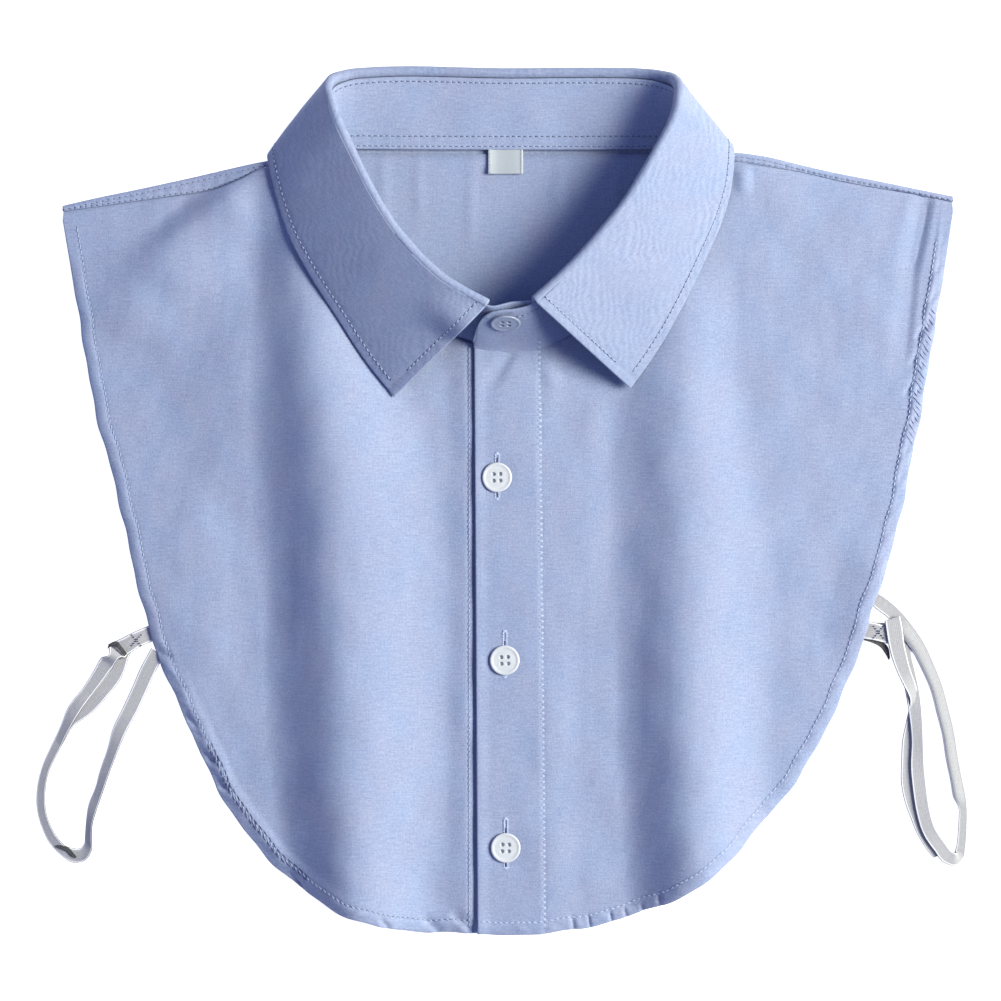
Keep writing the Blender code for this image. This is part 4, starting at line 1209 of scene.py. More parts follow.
def stand_surface(lines, columns=520, rows=34):
    """Grid of the stand, end to end, from its foot to its top edge.

    Its lines are straight at the nape and bend outwards to a toe on the fronts: there
    they are curves of the third degree from toe to top.
    """
    under, over = np.array(UNDER_END), np.array(OVER_END)
    foot = np.vstack([under[:, :3], lines["foot"][::12], over[:, :3]])
    top = np.vstack([under[:, 3:], lines["stand_top"][::12], over[:, 3:]])
    both = np.hstack([foot, top])
    knots = run_length(foot) + run_length(top)
    fine = smooth_through(both, knots, spread(knots[-1], columns, EDGE_STEPS * 2.0))
    low, high = fine[:, :3], fine[:, 3:]
    height = np.linalg.norm(high - low, axis=1)
    share = spread(STAND_HEIGHT, rows) / STAND_HEIGHT
    t = share[:, None, None]
    quarter_turn = np.array([[0, 1, 0], [-1, 0, 0], [0, 0, 0]])
    out = unit(np.gradient(low, axis=0)) @ quarter_turn
    front = hill(low[:, 0] - 4.0, 46.0) * (low[:, 1] < 90.0)
    drop = front[:, None] * UP
    toe = low + FOOT_RUN * front[:, None] * out - 0.95 * drop
    level = low + 0.5 * FOOT_RUN * front[:, None] * out - 0.6 * drop
    bend = 0.82 * low + 0.18 * high
    straight = low + t * (high - low)
    curved = (
        (1.0 - t) ** 3 * toe + 3.0 * t * (1.0 - t) ** 2 * level
        + 3.0 * t**2 * (1.0 - t) * bend + t**3 * high
    )
    grid = straight * (1.0 - front[:, None]) + curved * front[:, None]
    normal = grid_normals(grid)
    up = share[:, None] * height
    down = (1.0 - share[:, None]) * height
    across = run_across(grid)
    grid = grid + normal * stand_relief(across, up, down, front)[..., None]
    ends = np.minimum(across, across.max(axis=1, keepdims=True) - across)
    wall = rounded(ends) * rounded(down) * rounded(up)
    return grid, wall, up, down, np.stack([across, up], axis=-1)


def leaf_surface(lines, fall_rows=46, turn_steps=14):
    """Grid of the leaf: up from its seam, round its turn and down to its edge.

    The turn is half a circle about its centre.  The fall is a curve of the second
    degree whose crown stands off the chord by the leaf's bulge.
    """
    rows = [lines["seam"]]
    for angle in np.linspace(0.0, np.pi, turn_steps + 1):
        side = math.cos(angle) * lines["inward"] + math.sin(angle) * lines["outward"]
        rows.append(lines["centre"] + ROLL_RADIUS * side)
    start, edge = rows[-1], lines["edge"]
    crown = (start + edge) / 2 - lines["bulge"] * lines["inward"]
    for t in (spread(LEAF_FALL, fall_rows) / LEAF_FALL)[1:]:
        rows.append((1 - t) ** 2 * start + 2 * t * (1 - t) * crown + t**2 * edge)
    grid = np.array(rows)
    down = run_down(grid)
    from_edge = down[-1] - down
    across = run_across(grid)
    ends = np.minimum(across, across[:, -1:] - across)
    near = np.minimum(from_edge, ends + 40.0 * (from_edge > 30.0))
    stands = step(lines["fold"][:, 2], 6.0, 18.0)
    groove = 0.20 * hill(from_edge - LEAF_STITCH, 1.1)
    groove += 0.20 * hill(ends - LEAF_STITCH, 1.1) * (down > 12.0)
    pucker = sine(across, 6.3) * hill(from_edge - 3.0, 4.0)
    relief = (-groove + 0.05 * pucker) * stands
    relief += uneven(grid[..., 0], grid[..., 1], 0.16, 3.0) * stands * step(near, 4.0, 16.0)
    relief += LEFT_CROWN * hill(across, 24.0) * hill(down - 18.5, 12.0)
    grid = grid + grid_normals(grid) * relief[..., None]
    wall = rounded(from_edge, 0.7) * rounded(ends, 0.7) * rounded(down, 0.7)
    return grid, wall, from_edge, ends, np.stack([across, down], axis=-1)


def tape_surface(table, width, step_mm=0.9, columns=17):
    """Grid of a tape from its two edges in plan.

    What the edges' distance in plan leaves of the tape's width is the rise of one over
    the other, by Pythagoras.  The middle's line is given as well.
    """
    table = np.array([row + (0.0,) * (7 - len(row)) for row in table])
    knots = run_length((table[:, :2] + table[:, 2:4]) / 2.0)
    places = spread(knots[-1], max(int(knots[-1] / step_mm), 20), EDGE_STEPS)
    fine = smooth_through(table, knots, places)
    first, second = fine[:, :2], fine[:, 2:4]
    base, standing = fine[:, 4], np.clip(fine[:, 5], -1.0, 1.0)
    apart = np.linalg.norm(second - first, axis=1)
    rise = standing * np.sqrt(np.maximum(width**2 - apart**2, 0.0))
    low = base + 0.25
    one = np.column_stack([first, low + np.maximum(-rise, 0.0)])
    two = np.column_stack([second, low + np.maximum(rise, 0.0)])
    share = spread(width, columns, EDGE_STEPS[:4]) / width
    grid = one[:, None] + share[None, :, None] * (two - one)[:, None]
    ridge = hill(share - 0.8, np.where(share < 0.8, 0.8, 0.2))
    grid[..., 2] += np.maximum(fine[:, 6:7], 0.0) * ridge
    middle = (one + two) / 2.0
    along = run_length(middle)
    uv = np.stack(np.broadcast_arrays(share[None, :], along[:, None]), axis=-1)
    ends = np.minimum(along, along[-1] - along)[:, None]
    sides = np.minimum(share, 1.0 - share)[None, :] * width
    wall = rounded(ends, 0.3) * rounded(sides, 0.4) * (1.0 + 0.25 * hill(sides - 0.5, 0.5))
    return grid, wall, uv, middle


def button_rings(diameter=12.5, height=1.6, segments=96):
    """Grid of a button: rings from the middle of its dish round the rim to below.

    The height is that of the turned profile, less four wells whose walls are steep
    S-curves of the distance from each sewing hole's middle.
    """
    radius = diameter / 2.0
    profile = np.array([
        # radius, height
        (0.0, 0.88), (0.25, 0.88), (0.50, 0.875), (0.68, 0.87), (0.73, 0.875), (0.78, 0.90),
        (0.82, 0.95), (0.86, 0.985), (0.90, 1.0), (0.935, 0.985), (0.965, 0.93), (0.988, 0.83),
        (1.0, 0.70), (0.995, 0.60), (0.96, 0.42), (0.90, 0.24), (0.82, 0.10), (0.70, 0.02),
        (0.55, 0.0), (0.30, 0.0), (0.0, 0.0),
    ]) * (radius, height)
    knots = run_length(profile)
    crest, face_rings = knots[8], 56
    upper = np.linspace(0.0, crest, face_rings)
    lower = np.linspace(crest, knots[-1], 44)[1:]
    line = smooth_through(profile, knots, np.concatenate([upper, lower]))
    line[:, 0] = np.maximum(line[:, 0], 0.0)
    angle = np.arange(segments) * 2.0 * np.pi / segments
    x = line[:, :1] * np.cos(angle)
    y = line[:, :1] * np.sin(angle)
    z = np.repeat(line[:, 1:], segments, axis=1)
    top = (np.arange(len(line)) < face_rings)[:, None]
    for across, up in ((-1.0, -1.0), (-1.0, 1.0), (1.0, -1.0), (1.0, 1.0)):
        away = np.hypot(x - across * HOLE_OFFSET, y - up * HOLE_OFFSET)
        z = z - top * HOLE_DEPTH * (1.0 - step(away, 0.60, 0.90))
    return np.stack([x, y, z], axis=-1)


def button_mesh(name, rings, turn, place, slope):
    """A button's closed mesh, turned about its axis, tipped by a slope and put down."""
    count, segments = rings.shape[:2]
    inner = rings[1:-1]
    cos, sin = math.cos(turn), math.sin(turn)
    x = inner[..., 0] * cos - inner[..., 1] * sin
    y = inner[..., 0] * sin + inner[..., 1] * cos
    z = inner[..., 2]
    body = np.stack([x, y, z], axis=-1).reshape(-1, 3)
    poles = np.array([rings[0].mean(axis=0), rings[-1].mean(axis=0)])
    points = np.vstack([body, poles])
    tip = np.array([
        [1.0, 0.0, 0.0],
        [0.0, math.cos(slope), -math.sin(slope)],
        [0.0, math.sin(slope), math.cos(slope)],
    ])
    points = points @ tip.T + np.asarray(place)
    index = np.arange((count - 2) * segments).reshape(count - 2, segments)
    after = np.roll(index, -1, axis=1)
    wall = np.stack([index[:-1], index[1:], after[1:], after[:-1]], axis=-1).reshape(-1, 4)
    split = np.concatenate([wall[:, [0, 1, 2]], wall[:, [0, 2, 3]]])
    head = np.full(segments, len(body))
    tail = head + 1
    caps = np.concatenate([
        np.stack([head, index[0], after[0]], axis=-1),
        np.stack([tail, after[-1], index[-1]], axis=-1),
    ])
    return put_mesh(name, points, np.concatenate([split, caps]))


def stand_frame():
    """Foot, top and slope of the stand's over end at its button."""
    over = np.array(OVER_END)
    foot, top = over[:2, :3].mean(axis=0), over[:2, 3:].mean(axis=0)
    return foot, top, math.atan2(top[2] - foot[2], top[1] - foot[1])


def placket_height(x, y):
    """Height of the over placket's upper face."""
    x, y = np.asarray(x, float), np.asarray(y, float)
    return front_height(x, y, "right") + PLACKET_RISE + PLACKET_FACE - dimples(x, y)


# ------------------------------------------------------------------------ add-on

FLOOR_REACH = 1500.0   # half of the floor's width, in mm
FLOOR_LEVEL = -0.35
CAMERA_HEIGHT = 1.2    # in metres, like the two below
VIEW_WIDTH = 0.42042   # how much of the surface the camera takes in
VIEW_MIDDLE = (-0.00315, 0.0002)
ELASTIC_TACKS = [
    # middle x, middle y, height, half width, half height
    (-155.8, -58.4, 2.35, 1.9, 2.2), (155.3, -55.0, 2.3, 2.0, 2.4),
]
ELASTICS = [
    # the cord, its table, its node, the other tapes on it and its dark sheets of painted shade
    ("elastic_left", LEFT_ELASTIC, "elastic_strap_left", {"elastic_left_doubled": LEFT_DOUBLED},
     ["elastic_left_fold_painted_shade", "elastic_left_twist_painted_shade"]),
    ("elastic_right", RIGHT_ELASTIC, "elastic_strap_right",
     {"elastic_right_tail": RIGHT_TAIL, "elastic_right_tab": RIGHT_TAB},
     ["elastic_right_tab_painted_shadow"]),
]
LIGHTS = [
    # name, place and size in metres, power, colour
    ("key_light", (1.90, 0.27, 1.44), 1.2, 142.0, (1.0, 0.985, 0.80)),
    ("fill_light", (-1.6, -0.4, 1.7), 1.6, 5.0, (0.90, 0.95, 1.0)),
]
AIR_COLOUR = (0.54, 0.70, 1.50, 1.0)
AIR_STRENGTH = 0.27
SURFACES = {}


def length_property(name, description, default, least, most):
    """A length in metres that a user would change."""
    return bpy.props.FloatProperty(
        name=name, description=description, default=default, min=least, max=most,
        unit="LENGTH", subtype="DISTANCE",
    )


def colour_property(name, description, default):
    """A colour that a user would change."""
    return bpy.props.FloatVectorProperty(
        name=name, description=description, default=default, size=3, min=0.0, max=1.0,
        subtype="COLOR",
    )


class ShirtCollarSizes(bpy.types.PropertyGroup):
    """Sizes that a user would change."""

    cloth_wall: length_property(
        "Cloth wall", "Thickness of the fronts and the back", 0.0009, 0.0002, 0.003
    )
    collar_wall: length_property(
        "Collar wall", "Thickness of the stand and the leaf", 0.0012, 0.0004, 0.003
    )
    stitch_pitch: length_property(
        "Stitch length", "Length of one stitch of the seams", 0.0024, 0.001, 0.006
    )
    button_diameter: length_property("Button", "Diameter of the buttons", 0.0125, 0.008, 0.02)
    elastic_width: length_property("Elastic", "Width of the side elastics", 0.0063, 0.003, 0.015)
    thread_spacing: length_property(
        "Weave", "Distance between two threads of the cloth", 0.00042, 0.0001, 0.002
    )


class ShirtCollarColours(bpy.types.PropertyGroup):
    """Colours that a user would change."""

    warp: colour_property("Warp", "Blue threads of the cloth", (0.158, 0.196, 0.355))
    weft: colour_property("Weft", "Pale threads of the cloth", (0.335, 0.385, 0.545))
    thread: colour_property("Sewing thread", "Thread of the seams", (0.315, 0.365, 0.525))
    # Painted shade: the dark of the needle holes and slits.
    hole: colour_property("Needle holes", "Shade between two stitches", (0.045, 0.058, 0.15))
    button: colour_property("Buttons", "Colour of the buttons", (0.53, 0.55, 0.60))
    # Partly the cloth showing through the translucent resin, partly painted shade.
    shadowed: colour_property(
        "Collar button", "Colour of the clouded button on the stand", (0.30, 0.34, 0.46)
    )
    elastic: colour_property("Elastic", "Ground of the side elastics", (0.42, 0.42, 0.465))
    elastic_edge: colour_property(
        "Elastic edge", "Edge cords of the side elastics", (0.74, 0.74, 0.83)
    )
    label: colour_property("Label", "Colour of the neck label", (0.38, 0.415, 0.465))
    floor: colour_property("Floor", "Colour of the surface it lies on", (0.55, 0.55, 0.55))


class SHIRTCOLLAR_OT_stage(bpy.types.Operator):
    """Set up the camera, the lights and the floor, and mix the materials"""

    bl_idname = "shirtcollar.stage"
    bl_label = "Stage and Finishes"

    def execute(self, context):
        scene = context.scene
        mix_materials(scene.shirt_collar_colours, scene.shirt_collar_sizes.thread_spacing / MM)
        self.floor()
        for light in LIGHTS:
            self.light(*light)
        scene.world = scene.world or bpy.data.worlds.new("studio_air")
        scene.world.use_nodes = True
        air = scene.world.node_tree.nodes.get("Background")
        air.inputs["Color"].default_value = AIR_COLOUR
        air.inputs["Strength"].default_value = AIR_STRENGTH
        self.camera(scene)
        scene.view_settings.view_transform = "Standard"
        return {"FINISHED"}

    def floor(self):
        """The flat surface that the collar lies on, as a grid a little below it."""
        side, cells = np.linspace(-FLOOR_REACH, FLOOR_REACH, 5), grid_quads(5, 5)
        x, y = np.meshgrid(side, side)
        grid = np.stack([x, y, np.full_like(x, FLOOR_LEVEL)], axis=-1)
        floor = put_mesh("floor", grid.reshape(-1, 3), cells.reshape(-1, 4))
        floor.data.materials.append(MATERIALS["floor"])

    def light(self, name, place, size, power, colour):
        """A square soft light at a place, turned to the garment's middle."""
        lamp = bpy.data.lights.new(name, "AREA")
        lamp.shape = "SQUARE"
        lamp.size = size
        lamp.energy = power
        lamp.color = colour
        holder = bpy.data.objects.new(name, lamp)
        x, y, z = place
        holder.location = place
        holder.rotation_euler = (math.atan2(math.hypot(x, y), z), 0.0, math.atan2(x, -y))
        bpy.context.scene.collection.objects.link(holder)

    def camera(self, scene):
        """A camera straight above, whose lens takes in the view's width on the surface."""
        lens = bpy.data.cameras.new("camera")
        lens.sensor_width = 36.0
        lens.lens = lens.sensor_width * CAMERA_HEIGHT / VIEW_WIDTH
        lens.clip_start = 0.05
        lens.clip_end = 20.0
        holder = bpy.data.objects.new("camera", lens)
        holder.location = (*VIEW_MIDDLE, CAMERA_HEIGHT)
        scene.collection.objects.link(holder)
        scene.camera = holder


class SHIRTCOLLAR_OT_elastics(bpy.types.Operator):
    """Make the two side elastics, with the doubled ends and their cross tacks"""

    bl_idname = "shirtcollar.elastics"
    bl_label = "Side Elastics"

    def execute(self, context):
        width = context.scene.shirt_collar_sizes.elastic_width / MM
        pieces, middles = {}, {}
        for cord, table, node, others, _ in ELASTICS:
            for name, rows in {cord: table, **others}.items():
                grid, wall, uv, middles[name] = tape_surface(rows, width)
                obj = shell(name, grid, TAPE_HALF * wall, TAPE_HALF * wall, uv)[0]
                nodes = [node] if name == cord else []
                pieces[name] = finish_piece(obj, "elastic", nodes)
        self.tacks()
        # Dark sheets of painted shade in the folds and twists, and of painted shadow under the
        # right tab.
        for name, rows in PAINTED_FOLD_SHADES.items():
            grid, wall, uv, _ = tape_surface(rows, SHADE_SHEET_WIDTH, 0.5)
            obj = shell(name, grid, SHADE_SHEET_HALF * wall, SHADE_SHEET_HALF * wall, uv)[0]
            pieces[name] = finish_piece(obj, "fold_shade")
        return {"FINISHED"}

    def tacks(self):
        """The crosses that tack the doubled ends: two slanting rows of dark dots, made like the
        needle holes' painted shade.
        """
        spots = []
        t = np.linspace(-1.0, 1.0, 6)
        for x, y, z, wide, high in ELASTIC_TACKS:
            for slope in (1.0, -1.0):
                line = [x + wide * t, y + slope * high * t, np.full_like(t, z)]
                spots.append(np.stack(line, axis=-1))
        spots = np.concatenate(spots)
        turns = np.tile(UP, (len(spots), 1))
        tack = needle_holes("elastic_tacks", spots, turns, 0.36)
        finish_piece(tack, "hole")


class SHIRTCOLLAR_OT_panels(bpy.types.Operator):
    """Make the back with its shoulder strips and the two fronts"""

    bl_idname = "shirtcollar.panels"
    bl_label = "Back and Fronts"

    def execute(self, context):
        wall_mm = context.scene.shirt_collar_sizes.cloth_wall / MM
        grid, wall, keep, last_flat = back_surface()
        low = np.minimum(0.5, wall_mm) * wall
        obj, _, normal = shell(
            "back_cloth", grid, 0.45 * wall_mm * wall, low, grid[..., :2], keep
        )
        finish_piece(obj, "shirt_cloth", ["back_panel"])
        SURFACES["back"] = (grid - normal * low[..., None], -normal, last_flat)
        for side, table in (("left", LEFT_FRONT), ("right", RIGHT_FRONT)):
            grid, wall, hem_gap, uv = front_surface(table, side)
            half = 0.5 * wall_mm * wall
            obj, upper, normal = shell("front_%s_cloth" % side, grid, half, half, uv)
            finish_piece(obj, "shirt_cloth", ["front_panel_%s" % side])
            SURFACES[side] = (upper, normal, hem_gap)
        return {"FINISHED"}


class SHIRTCOLLAR_OT_collar(bpy.types.Operator):
    """Make the collar's stand and its turned-down leaf"""

    bl_idname = "shirtcollar.collar"
    bl_label = "Stand and Leaf"

    def execute(self, context):
        half = context.scene.shirt_collar_sizes.collar_wall / MM / 2.0
        lines = collar_lines()
        grid, wall, up, down, uv = stand_surface(lines)
        obj, upper, normal = shell("stand_cloth", grid, half * wall, half * wall, uv)
        finish_piece(obj, "collar_cloth", ["collar_stand"])
        lower = grid - normal * (half * wall)[..., None]
        SURFACES["stand"] = (upper, lower, normal, up, down)
        grid, wall, from_edge, ends, uv = leaf_surface(lines)
        obj, upper, normal = shell("leaf_cloth", grid, half * wall, half * wall, uv)
        finish_piece(obj, "leaf_cloth", ["collar_leaf"])
        SURFACES["leaf"] = (upper, normal, from_edge, ends)
        return {"FINISHED"}


class SHIRTCOLLAR_OT_label(bpy.types.Operator):
    """Make the bare woven neck label, with its curled lower edge and two side seams"""

    bl_idname = "shirtcollar.label"
    bl_label = "Neck Label"

    def execute(self, context):
        left, bottom, right, top = LABEL_BOX
        u = spread(right - left, 40)
        v = spread(top - bottom + LABEL_SEWN_IN, 30)
        x, y = np.meshgrid(left + u, bottom + v)
        curl = 0.75 * hill(y - bottom, 5.0) + 0.25 * hill(x - left, 4.0)
        z = back_height(x, y) + LABEL_LIFT + curl + 0.12 * np.sin(x / 2.3)
        grid = np.stack([x, y, z], axis=-1)
        near = np.minimum(np.minimum(x - left, right - x), y - bottom)
        wall = 0.22 * rounded(near, 0.4) * (1.0 + 0.5 * (1.0 - step(near, 0.8, 1.3)))
        obj, upper, normal = shell("neck_label_cloth", grid, wall, wall, grid[..., :2])
        finish_piece(obj, "label", ["neck_label"])
        sides = [
            line_at(upper, normal, gap, 0.9, by_row=True) for gap in (x - left, right - x)
        ]
        threads = stitches(sides, 1.6, 0.11, 0.12, 0.03)[0]
        made = rings_mesh("neck_label_stitches", threads)
        finish_piece(made, "thread")
        return {"FINISHED"}


class SHIRTCOLLAR_OT_buttons(bpy.types.Operator):
    """Make the three placket buttons and the collar button"""

    bl_idname = "shirtcollar.buttons"
    bl_label = "Buttons"

    def execute(self, context):
        diameter = context.scene.shirt_collar_sizes.button_diameter / MM
        rings = button_rings(diameter)
        for name, x, y, turn, *_ in BUTTONS:
            place = (x, y, float(placket_height(x, y)) + 0.2)
            obj = button_mesh(name + "_resin", rings, math.radians(turn), place, 0.0)
            finish_piece(obj, "button", [name])
        foot, top, slope = stand_frame()
        name, x, share = STAND_BUTTON
        place = foot + share * (top - foot)
        place[0] = x
        place += np.array((0.0, -math.sin(slope), math.cos(slope))) * 0.95
        thin = rings * (1.0, 1.0, 0.7)
        # The collar button takes the darker copy of the resin: partly the cloth showing through
        # it, partly painted shade.
        obj = button_mesh(name + "_resin", thin, 0.0, place, slope + 0.09)
        finish_piece(obj, "button_painted_shade", [name])
        return {"FINISHED"}


class SHIRTCOLLAR_OT_buttonholes(bpy.types.Operator):
    """Work the three placket buttonholes: slit, satin bars and bar tacks"""

    bl_idname = "shirtcollar.buttonholes"
    bl_label = "Buttonholes"

    def execute(self, context):
        bars, slits = [], []
        for _, x, y, _, reach_up, reach_down in BUTTONS:
            low, high = y - reach_down, y + reach_up
            rows = np.arange(low + 0.5, high - 0.5, BAR_PITCH)
            ragged = 0.85 + 0.16 * np.sin(rows * 5.3) + 0.10 * np.sin(rows * 11.9 + 1.0)
            for side in (-1.0, 1.0):
                inner, outer = x + side * BAR_INSIDE, x + side * ragged * BAR_OUTSIDE
                bars.append(self.bars(inner, rows, outer, rows + 0.1))
            for tack_y in (low, high - 0.7):
                rows = tack_y + np.arange(TACK_BARS) * TACK_PITCH
                wide = 0.8 + 0.3 * np.sin(rows * 9.0)
                bars.append(self.bars(x - wide, rows, x + wide, rows))
            for from_y, to_y in ((low + 1.2, y - 5.9), (y + 5.9, min(y + 8.2, high - 1.4))):
                slit = np.arange(from_y, to_y, SLIT_PITCH)
                slits.append(np.column_stack([np.full_like(slit, x), slit]))
        spots, turns = self.on_placket(np.concatenate(bars), 0.05)
        made = rings_mesh("buttonhole_bars", thread_rings(spots, turns, 0.19, 0.12, 0.04))
        finish_piece(made, "buttonhole_thread")
        # Each slit: a row of dark dots of painted shade along the cut.
        spots, turns = self.on_placket(np.concatenate(slits), 0.08)
        made = needle_holes("buttonhole_slits", spots, turns, 0.36)
        finish_piece(made, "hole")
        return {"FINISHED"}

    def bars(self, from_x, from_y, to_x, to_y):
        """Short satin threads in plan, each from a start to an end in five points."""
        t = np.linspace(0.0, 1.0, 5)[None, :, None]
        start = np.stack(np.broadcast_arrays(from_x, from_y), axis=-1)[:, None]
        end = np.stack(np.broadcast_arrays(to_x, to_y), axis=-1)[:, None]
        return start * (1.0 - t) + end * t

    def on_placket(self, plan, lift):
        """Points of a plan put on the placket, a lift above it, and turns straight up."""
        height = placket_height(plan[..., 0], plan[..., 1]) + lift
        spots = np.concatenate([plan, height[..., None]], axis=-1)
        return spots, np.broadcast_to(UP, spots.shape)


class SHIRTCOLLAR_OT_stitching(bpy.types.Operator):
    """Sew the hems, the plackets, the shoulders, the stand and the leaf"""

    bl_idname = "shirtcollar.stitching"
    bl_label = "Stitching"

    def execute(self, context):
        pitch = context.scene.shirt_collar_sizes.stitch_pitch / MM
        self.sew_fronts(pitch)
        self.sew_shoulders(pitch)
        self.sew_stand(pitch)
        self.sew_leaf(pitch)
        return {"FINISHED"}

    def sew_fronts(self, pitch):
        """The hems' and the plackets' stitches, and the painted shadows of the hems' furrow and
        crease lines.
        """
        down = np.s_[2:-7]
        for side in ("left", "right"):
            upper, normal, hem_gap = SURFACES[side]
            hem = self.clean(line_at(upper, normal, hem_gap, HEM_STITCH))
            self.sew("hem_" + side, [hem], pitch, "shirt_cloth", fill=0.74, **HEM_THREADS[side])
            if side == "left":
                line = line_at(upper, normal, upper[..., 0], UNDER_STITCH, down, by_row=True)
                self.sew("under_placket", [line], pitch, "shirt_cloth", radius=0.24, slant=0.3)
                # Painted shade in the lower left hem's grooves, as dark threads.
                self.furrow_shadows("hem_left_furrow_shadows", *hem)
            else:
                place = upper[..., 0] - placket_line(upper[..., 1])
                line = line_at(upper, normal, place, 0.0, down, by_row=True)
                self.sew("placket", [line], pitch, "shirt_cloth", hole=0.22, **BLOBS)
                # Painted shadows along the right hem's crease lines.
                self.crease_shadows("hem_right_crease_shadows", [
                    self.clean(line_at(upper, normal, hem_gap, gap)) for gap in (4.6, 2.8, 1.0)
                ])

    def sew_shoulders(self, pitch):
        """Two rows along each shoulder strip: below its fold and above its edge."""
        outer, normal, last_flat = SURFACES["back"]
        strip = last_flat + 9
        for side, columns, hole in (
            ("left", slice(3, 92), 0.34), ("right", slice(-92, -3), 0.22),
        ):
            part, turn = outer[strip:, columns], normal[strip:, columns]
            depth = part[:1, :, 1] - part[..., 1]
            rows = [line_at(part, turn, depth, 1.1), line_at(part, turn, depth[-1:] - depth, 0.55)]
            self.sew(
                "shoulder_" + side, rows, pitch, "shirt_cloth", hole=hole, radius=0.15, lift=0.1
            )

    def sew_stand(self, pitch):
        """Rows inside the stand, one along its over end, and the placket's row on it."""
        upper, lower, normal, up, down = SURFACES["stand"]
        inside, over_end = np.s_[:, 40:-60], np.s_[:, -60:-22]
        foot_row, second_row, top_row = STAND_ROWS
        rows = [
            line_at(upper, normal, field, value, inside)
            for field, value in ((up, foot_row), (up, second_row), (down, top_row))
        ]
        rows.append(line_at(lower, -normal, down, 2.0, over_end))
        self.sew("stand", rows, pitch, "collar_cloth", hole=0.34, radius=0.24, fill=0.7)
        place = lower[..., 0] - placket_line(lower[..., 1])
        rise = line_at(lower, -normal, place, 0.0, np.s_[6:15, -75:-25], by_row=True)
        self.sew("placket_top", [rise], pitch, "collar_cloth", hole=0.22, **BLOBS)

    def sew_leaf(self, pitch):
        """One row all round the leaf: along its edge and up both of its ends."""
        upper, normal, from_edge, ends = SURFACES["leaf"]
        half = upper.shape[1] // 2
        rows = [line_at(upper, normal, from_edge, LEAF_STITCH, np.s_[:, 12:-12])]
        for end in (np.s_[18:-13, :half], np.s_[18:-13, half:]):
            rows.append(line_at(upper, normal, ends, LEAF_STITCH, end, by_row=True))
        self.sew("leaf", rows, pitch, "collar_cloth", hole=0.42, radius=0.27, lift=0.2, fill=0.62)

    def clean(self, line):
        """A line without its first and last few points, which crowd at the edges."""
        points, normals = line
        return points[6:-3], normals[6:-3]

    def furrow_shadows(self, name, points, normals):
        """Painted shade in the deep grooves on both sides of the lower hem's stitches: two rows of
        dark threads.
        """
        low = (points[:, 1] < -100.0) & (points[:, 1] > -158.0)
        points, normals = points[low], normals[low]
        side = unit(np.cross(np.gradient(points, axis=0), normals))
        rows = [(points + 0.85 * side, normals), (points - 0.85 * side, normals)]
        threads = stitches(rows, 3.1, 0.27, 0.05, 0.02, fill=0.86, slant=0.2)[0]
        finish_piece(rings_mesh(name, threads), "hole")

    def crease_shadows(self, name, lines):
        """Painted shadows of short slanting crease lines across the hem: dark threads from its
        stitches towards its edge.

        Each is the curve of the second degree through one point of each of three lines.
        """
        rows = np.arange(26.0, 82.0, 2.3)
        rows = rows + 0.5 * np.sin(rows * 2.7)
        t = np.linspace(0.0, 1.0, 5)[None, :, None]
        shares = (2.0 * (t - 0.5) * (t - 1.0), 4.0 * t * (1.0 - t), 2.0 * t * (t - 0.5))
        spots, turns = 0.0, 0.0
        for (points, normals), shift, share in zip(lines, (1.4, -0.6, -2.6), shares):
            by_y = np.column_stack([points[:, 1], points, normals])
            columns = columns_at(by_y[np.argsort(points[:, 1])], rows + shift)
            spots = spots + share * np.stack(columns[:3], axis=-1)[:, None]
            turns = turns + share * np.stack(columns[3:], axis=-1)[:, None]
        threads = thread_rings(spots, unit(turns), 0.22, 0.06, 0.02)
        finish_piece(rings_mesh(name, threads), "crease_shade")

    def sew(self, name, lines, pitch, slot, hole=0.27, thread="thread", **form):
        """One mesh of stitches and one of needle holes, dark with painted shade, for a group of
        seams.
        """
        threads, spots, turns = stitches(lines, pitch, **form)
        threads[..., 2] = np.maximum(threads[..., 2], 0.02)
        spots[:, 2] = np.maximum(spots[:, 2], 0.14)
        made = rings_mesh(name + "_stitches", threads)
        finish_piece(made, thread)
        made = needle_holes(name + "_needle_holes", spots, turns, hole)
        finish_piece(made, "hole")


class SHIRTCOLLAR_PT_panel(bpy.types.Panel):
    """Makes the dressed pieces of a detachable shirt collar"""

    bl_idname = "SHIRTCOLLAR_PT_panel"
    bl_label = "Shirt Collar"
    bl_space_type = "VIEW_3D"
    bl_region_type = "UI"
    bl_category = "Shirt Collar"

    def draw(self, context):
        layout = self.layout
        for group in (context.scene.shirt_collar_sizes, context.scene.shirt_collar_colours):
            box = layout.box()
            for name in group.__annotations__:
                box.prop(group, name)
        for step_class in STEPS:
            layout.operator(step_class.bl_idname)


STEPS = [
    SHIRTCOLLAR_OT_stage, SHIRTCOLLAR_OT_elastics, SHIRTCOLLAR_OT_panels, SHIRTCOLLAR_OT_collar,
    SHIRTCOLLAR_OT_label, SHIRTCOLLAR_OT_buttons, SHIRTCOLLAR_OT_buttonholes,
    SHIRTCOLLAR_OT_stitching,
]
CLASSES = [ShirtCollarSizes, ShirtCollarColours, *STEPS, SHIRTCOLLAR_PT_panel]


def register():
    """Register the add-on's classes and its two groups of properties."""
    for made in CLASSES:
        bpy.utils.register_class(made)
    bpy.types.Scene.shirt_collar_sizes = bpy.props.PointerProperty(type=ShirtCollarSizes)
    bpy.types.Scene.shirt_collar_colours = bpy.props.PointerProperty(type=ShirtCollarColours)


def unregister():
    """Take the add-on out again."""
    del bpy.types.Scene.shirt_collar_colours
    del bpy.types.Scene.shirt_collar_sizes
    for made in reversed(CLASSES):
        bpy.utils.unregister_class(made)


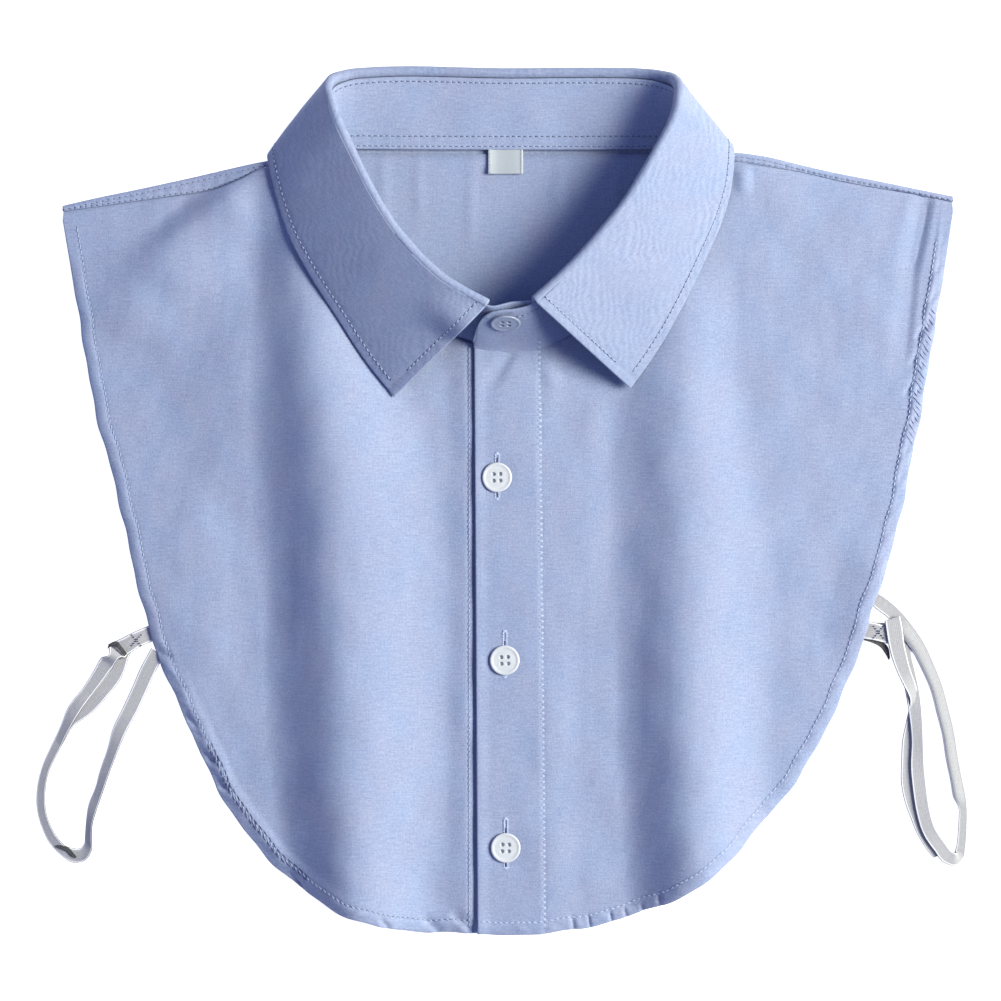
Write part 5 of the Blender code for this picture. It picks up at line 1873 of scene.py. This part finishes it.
def main():
    """Make every piece in order."""
    register()
    bpy.ops.shirtcollar.stage()
    bpy.ops.shirtcollar.elastics()
    bpy.ops.shirtcollar.panels()
    bpy.ops.shirtcollar.collar()
    bpy.ops.shirtcollar.label()
    bpy.ops.shirtcollar.buttons()
    bpy.ops.shirtcollar.buttonholes()
    bpy.ops.shirtcollar.stitching()


if __name__ == "__main__":
    main()
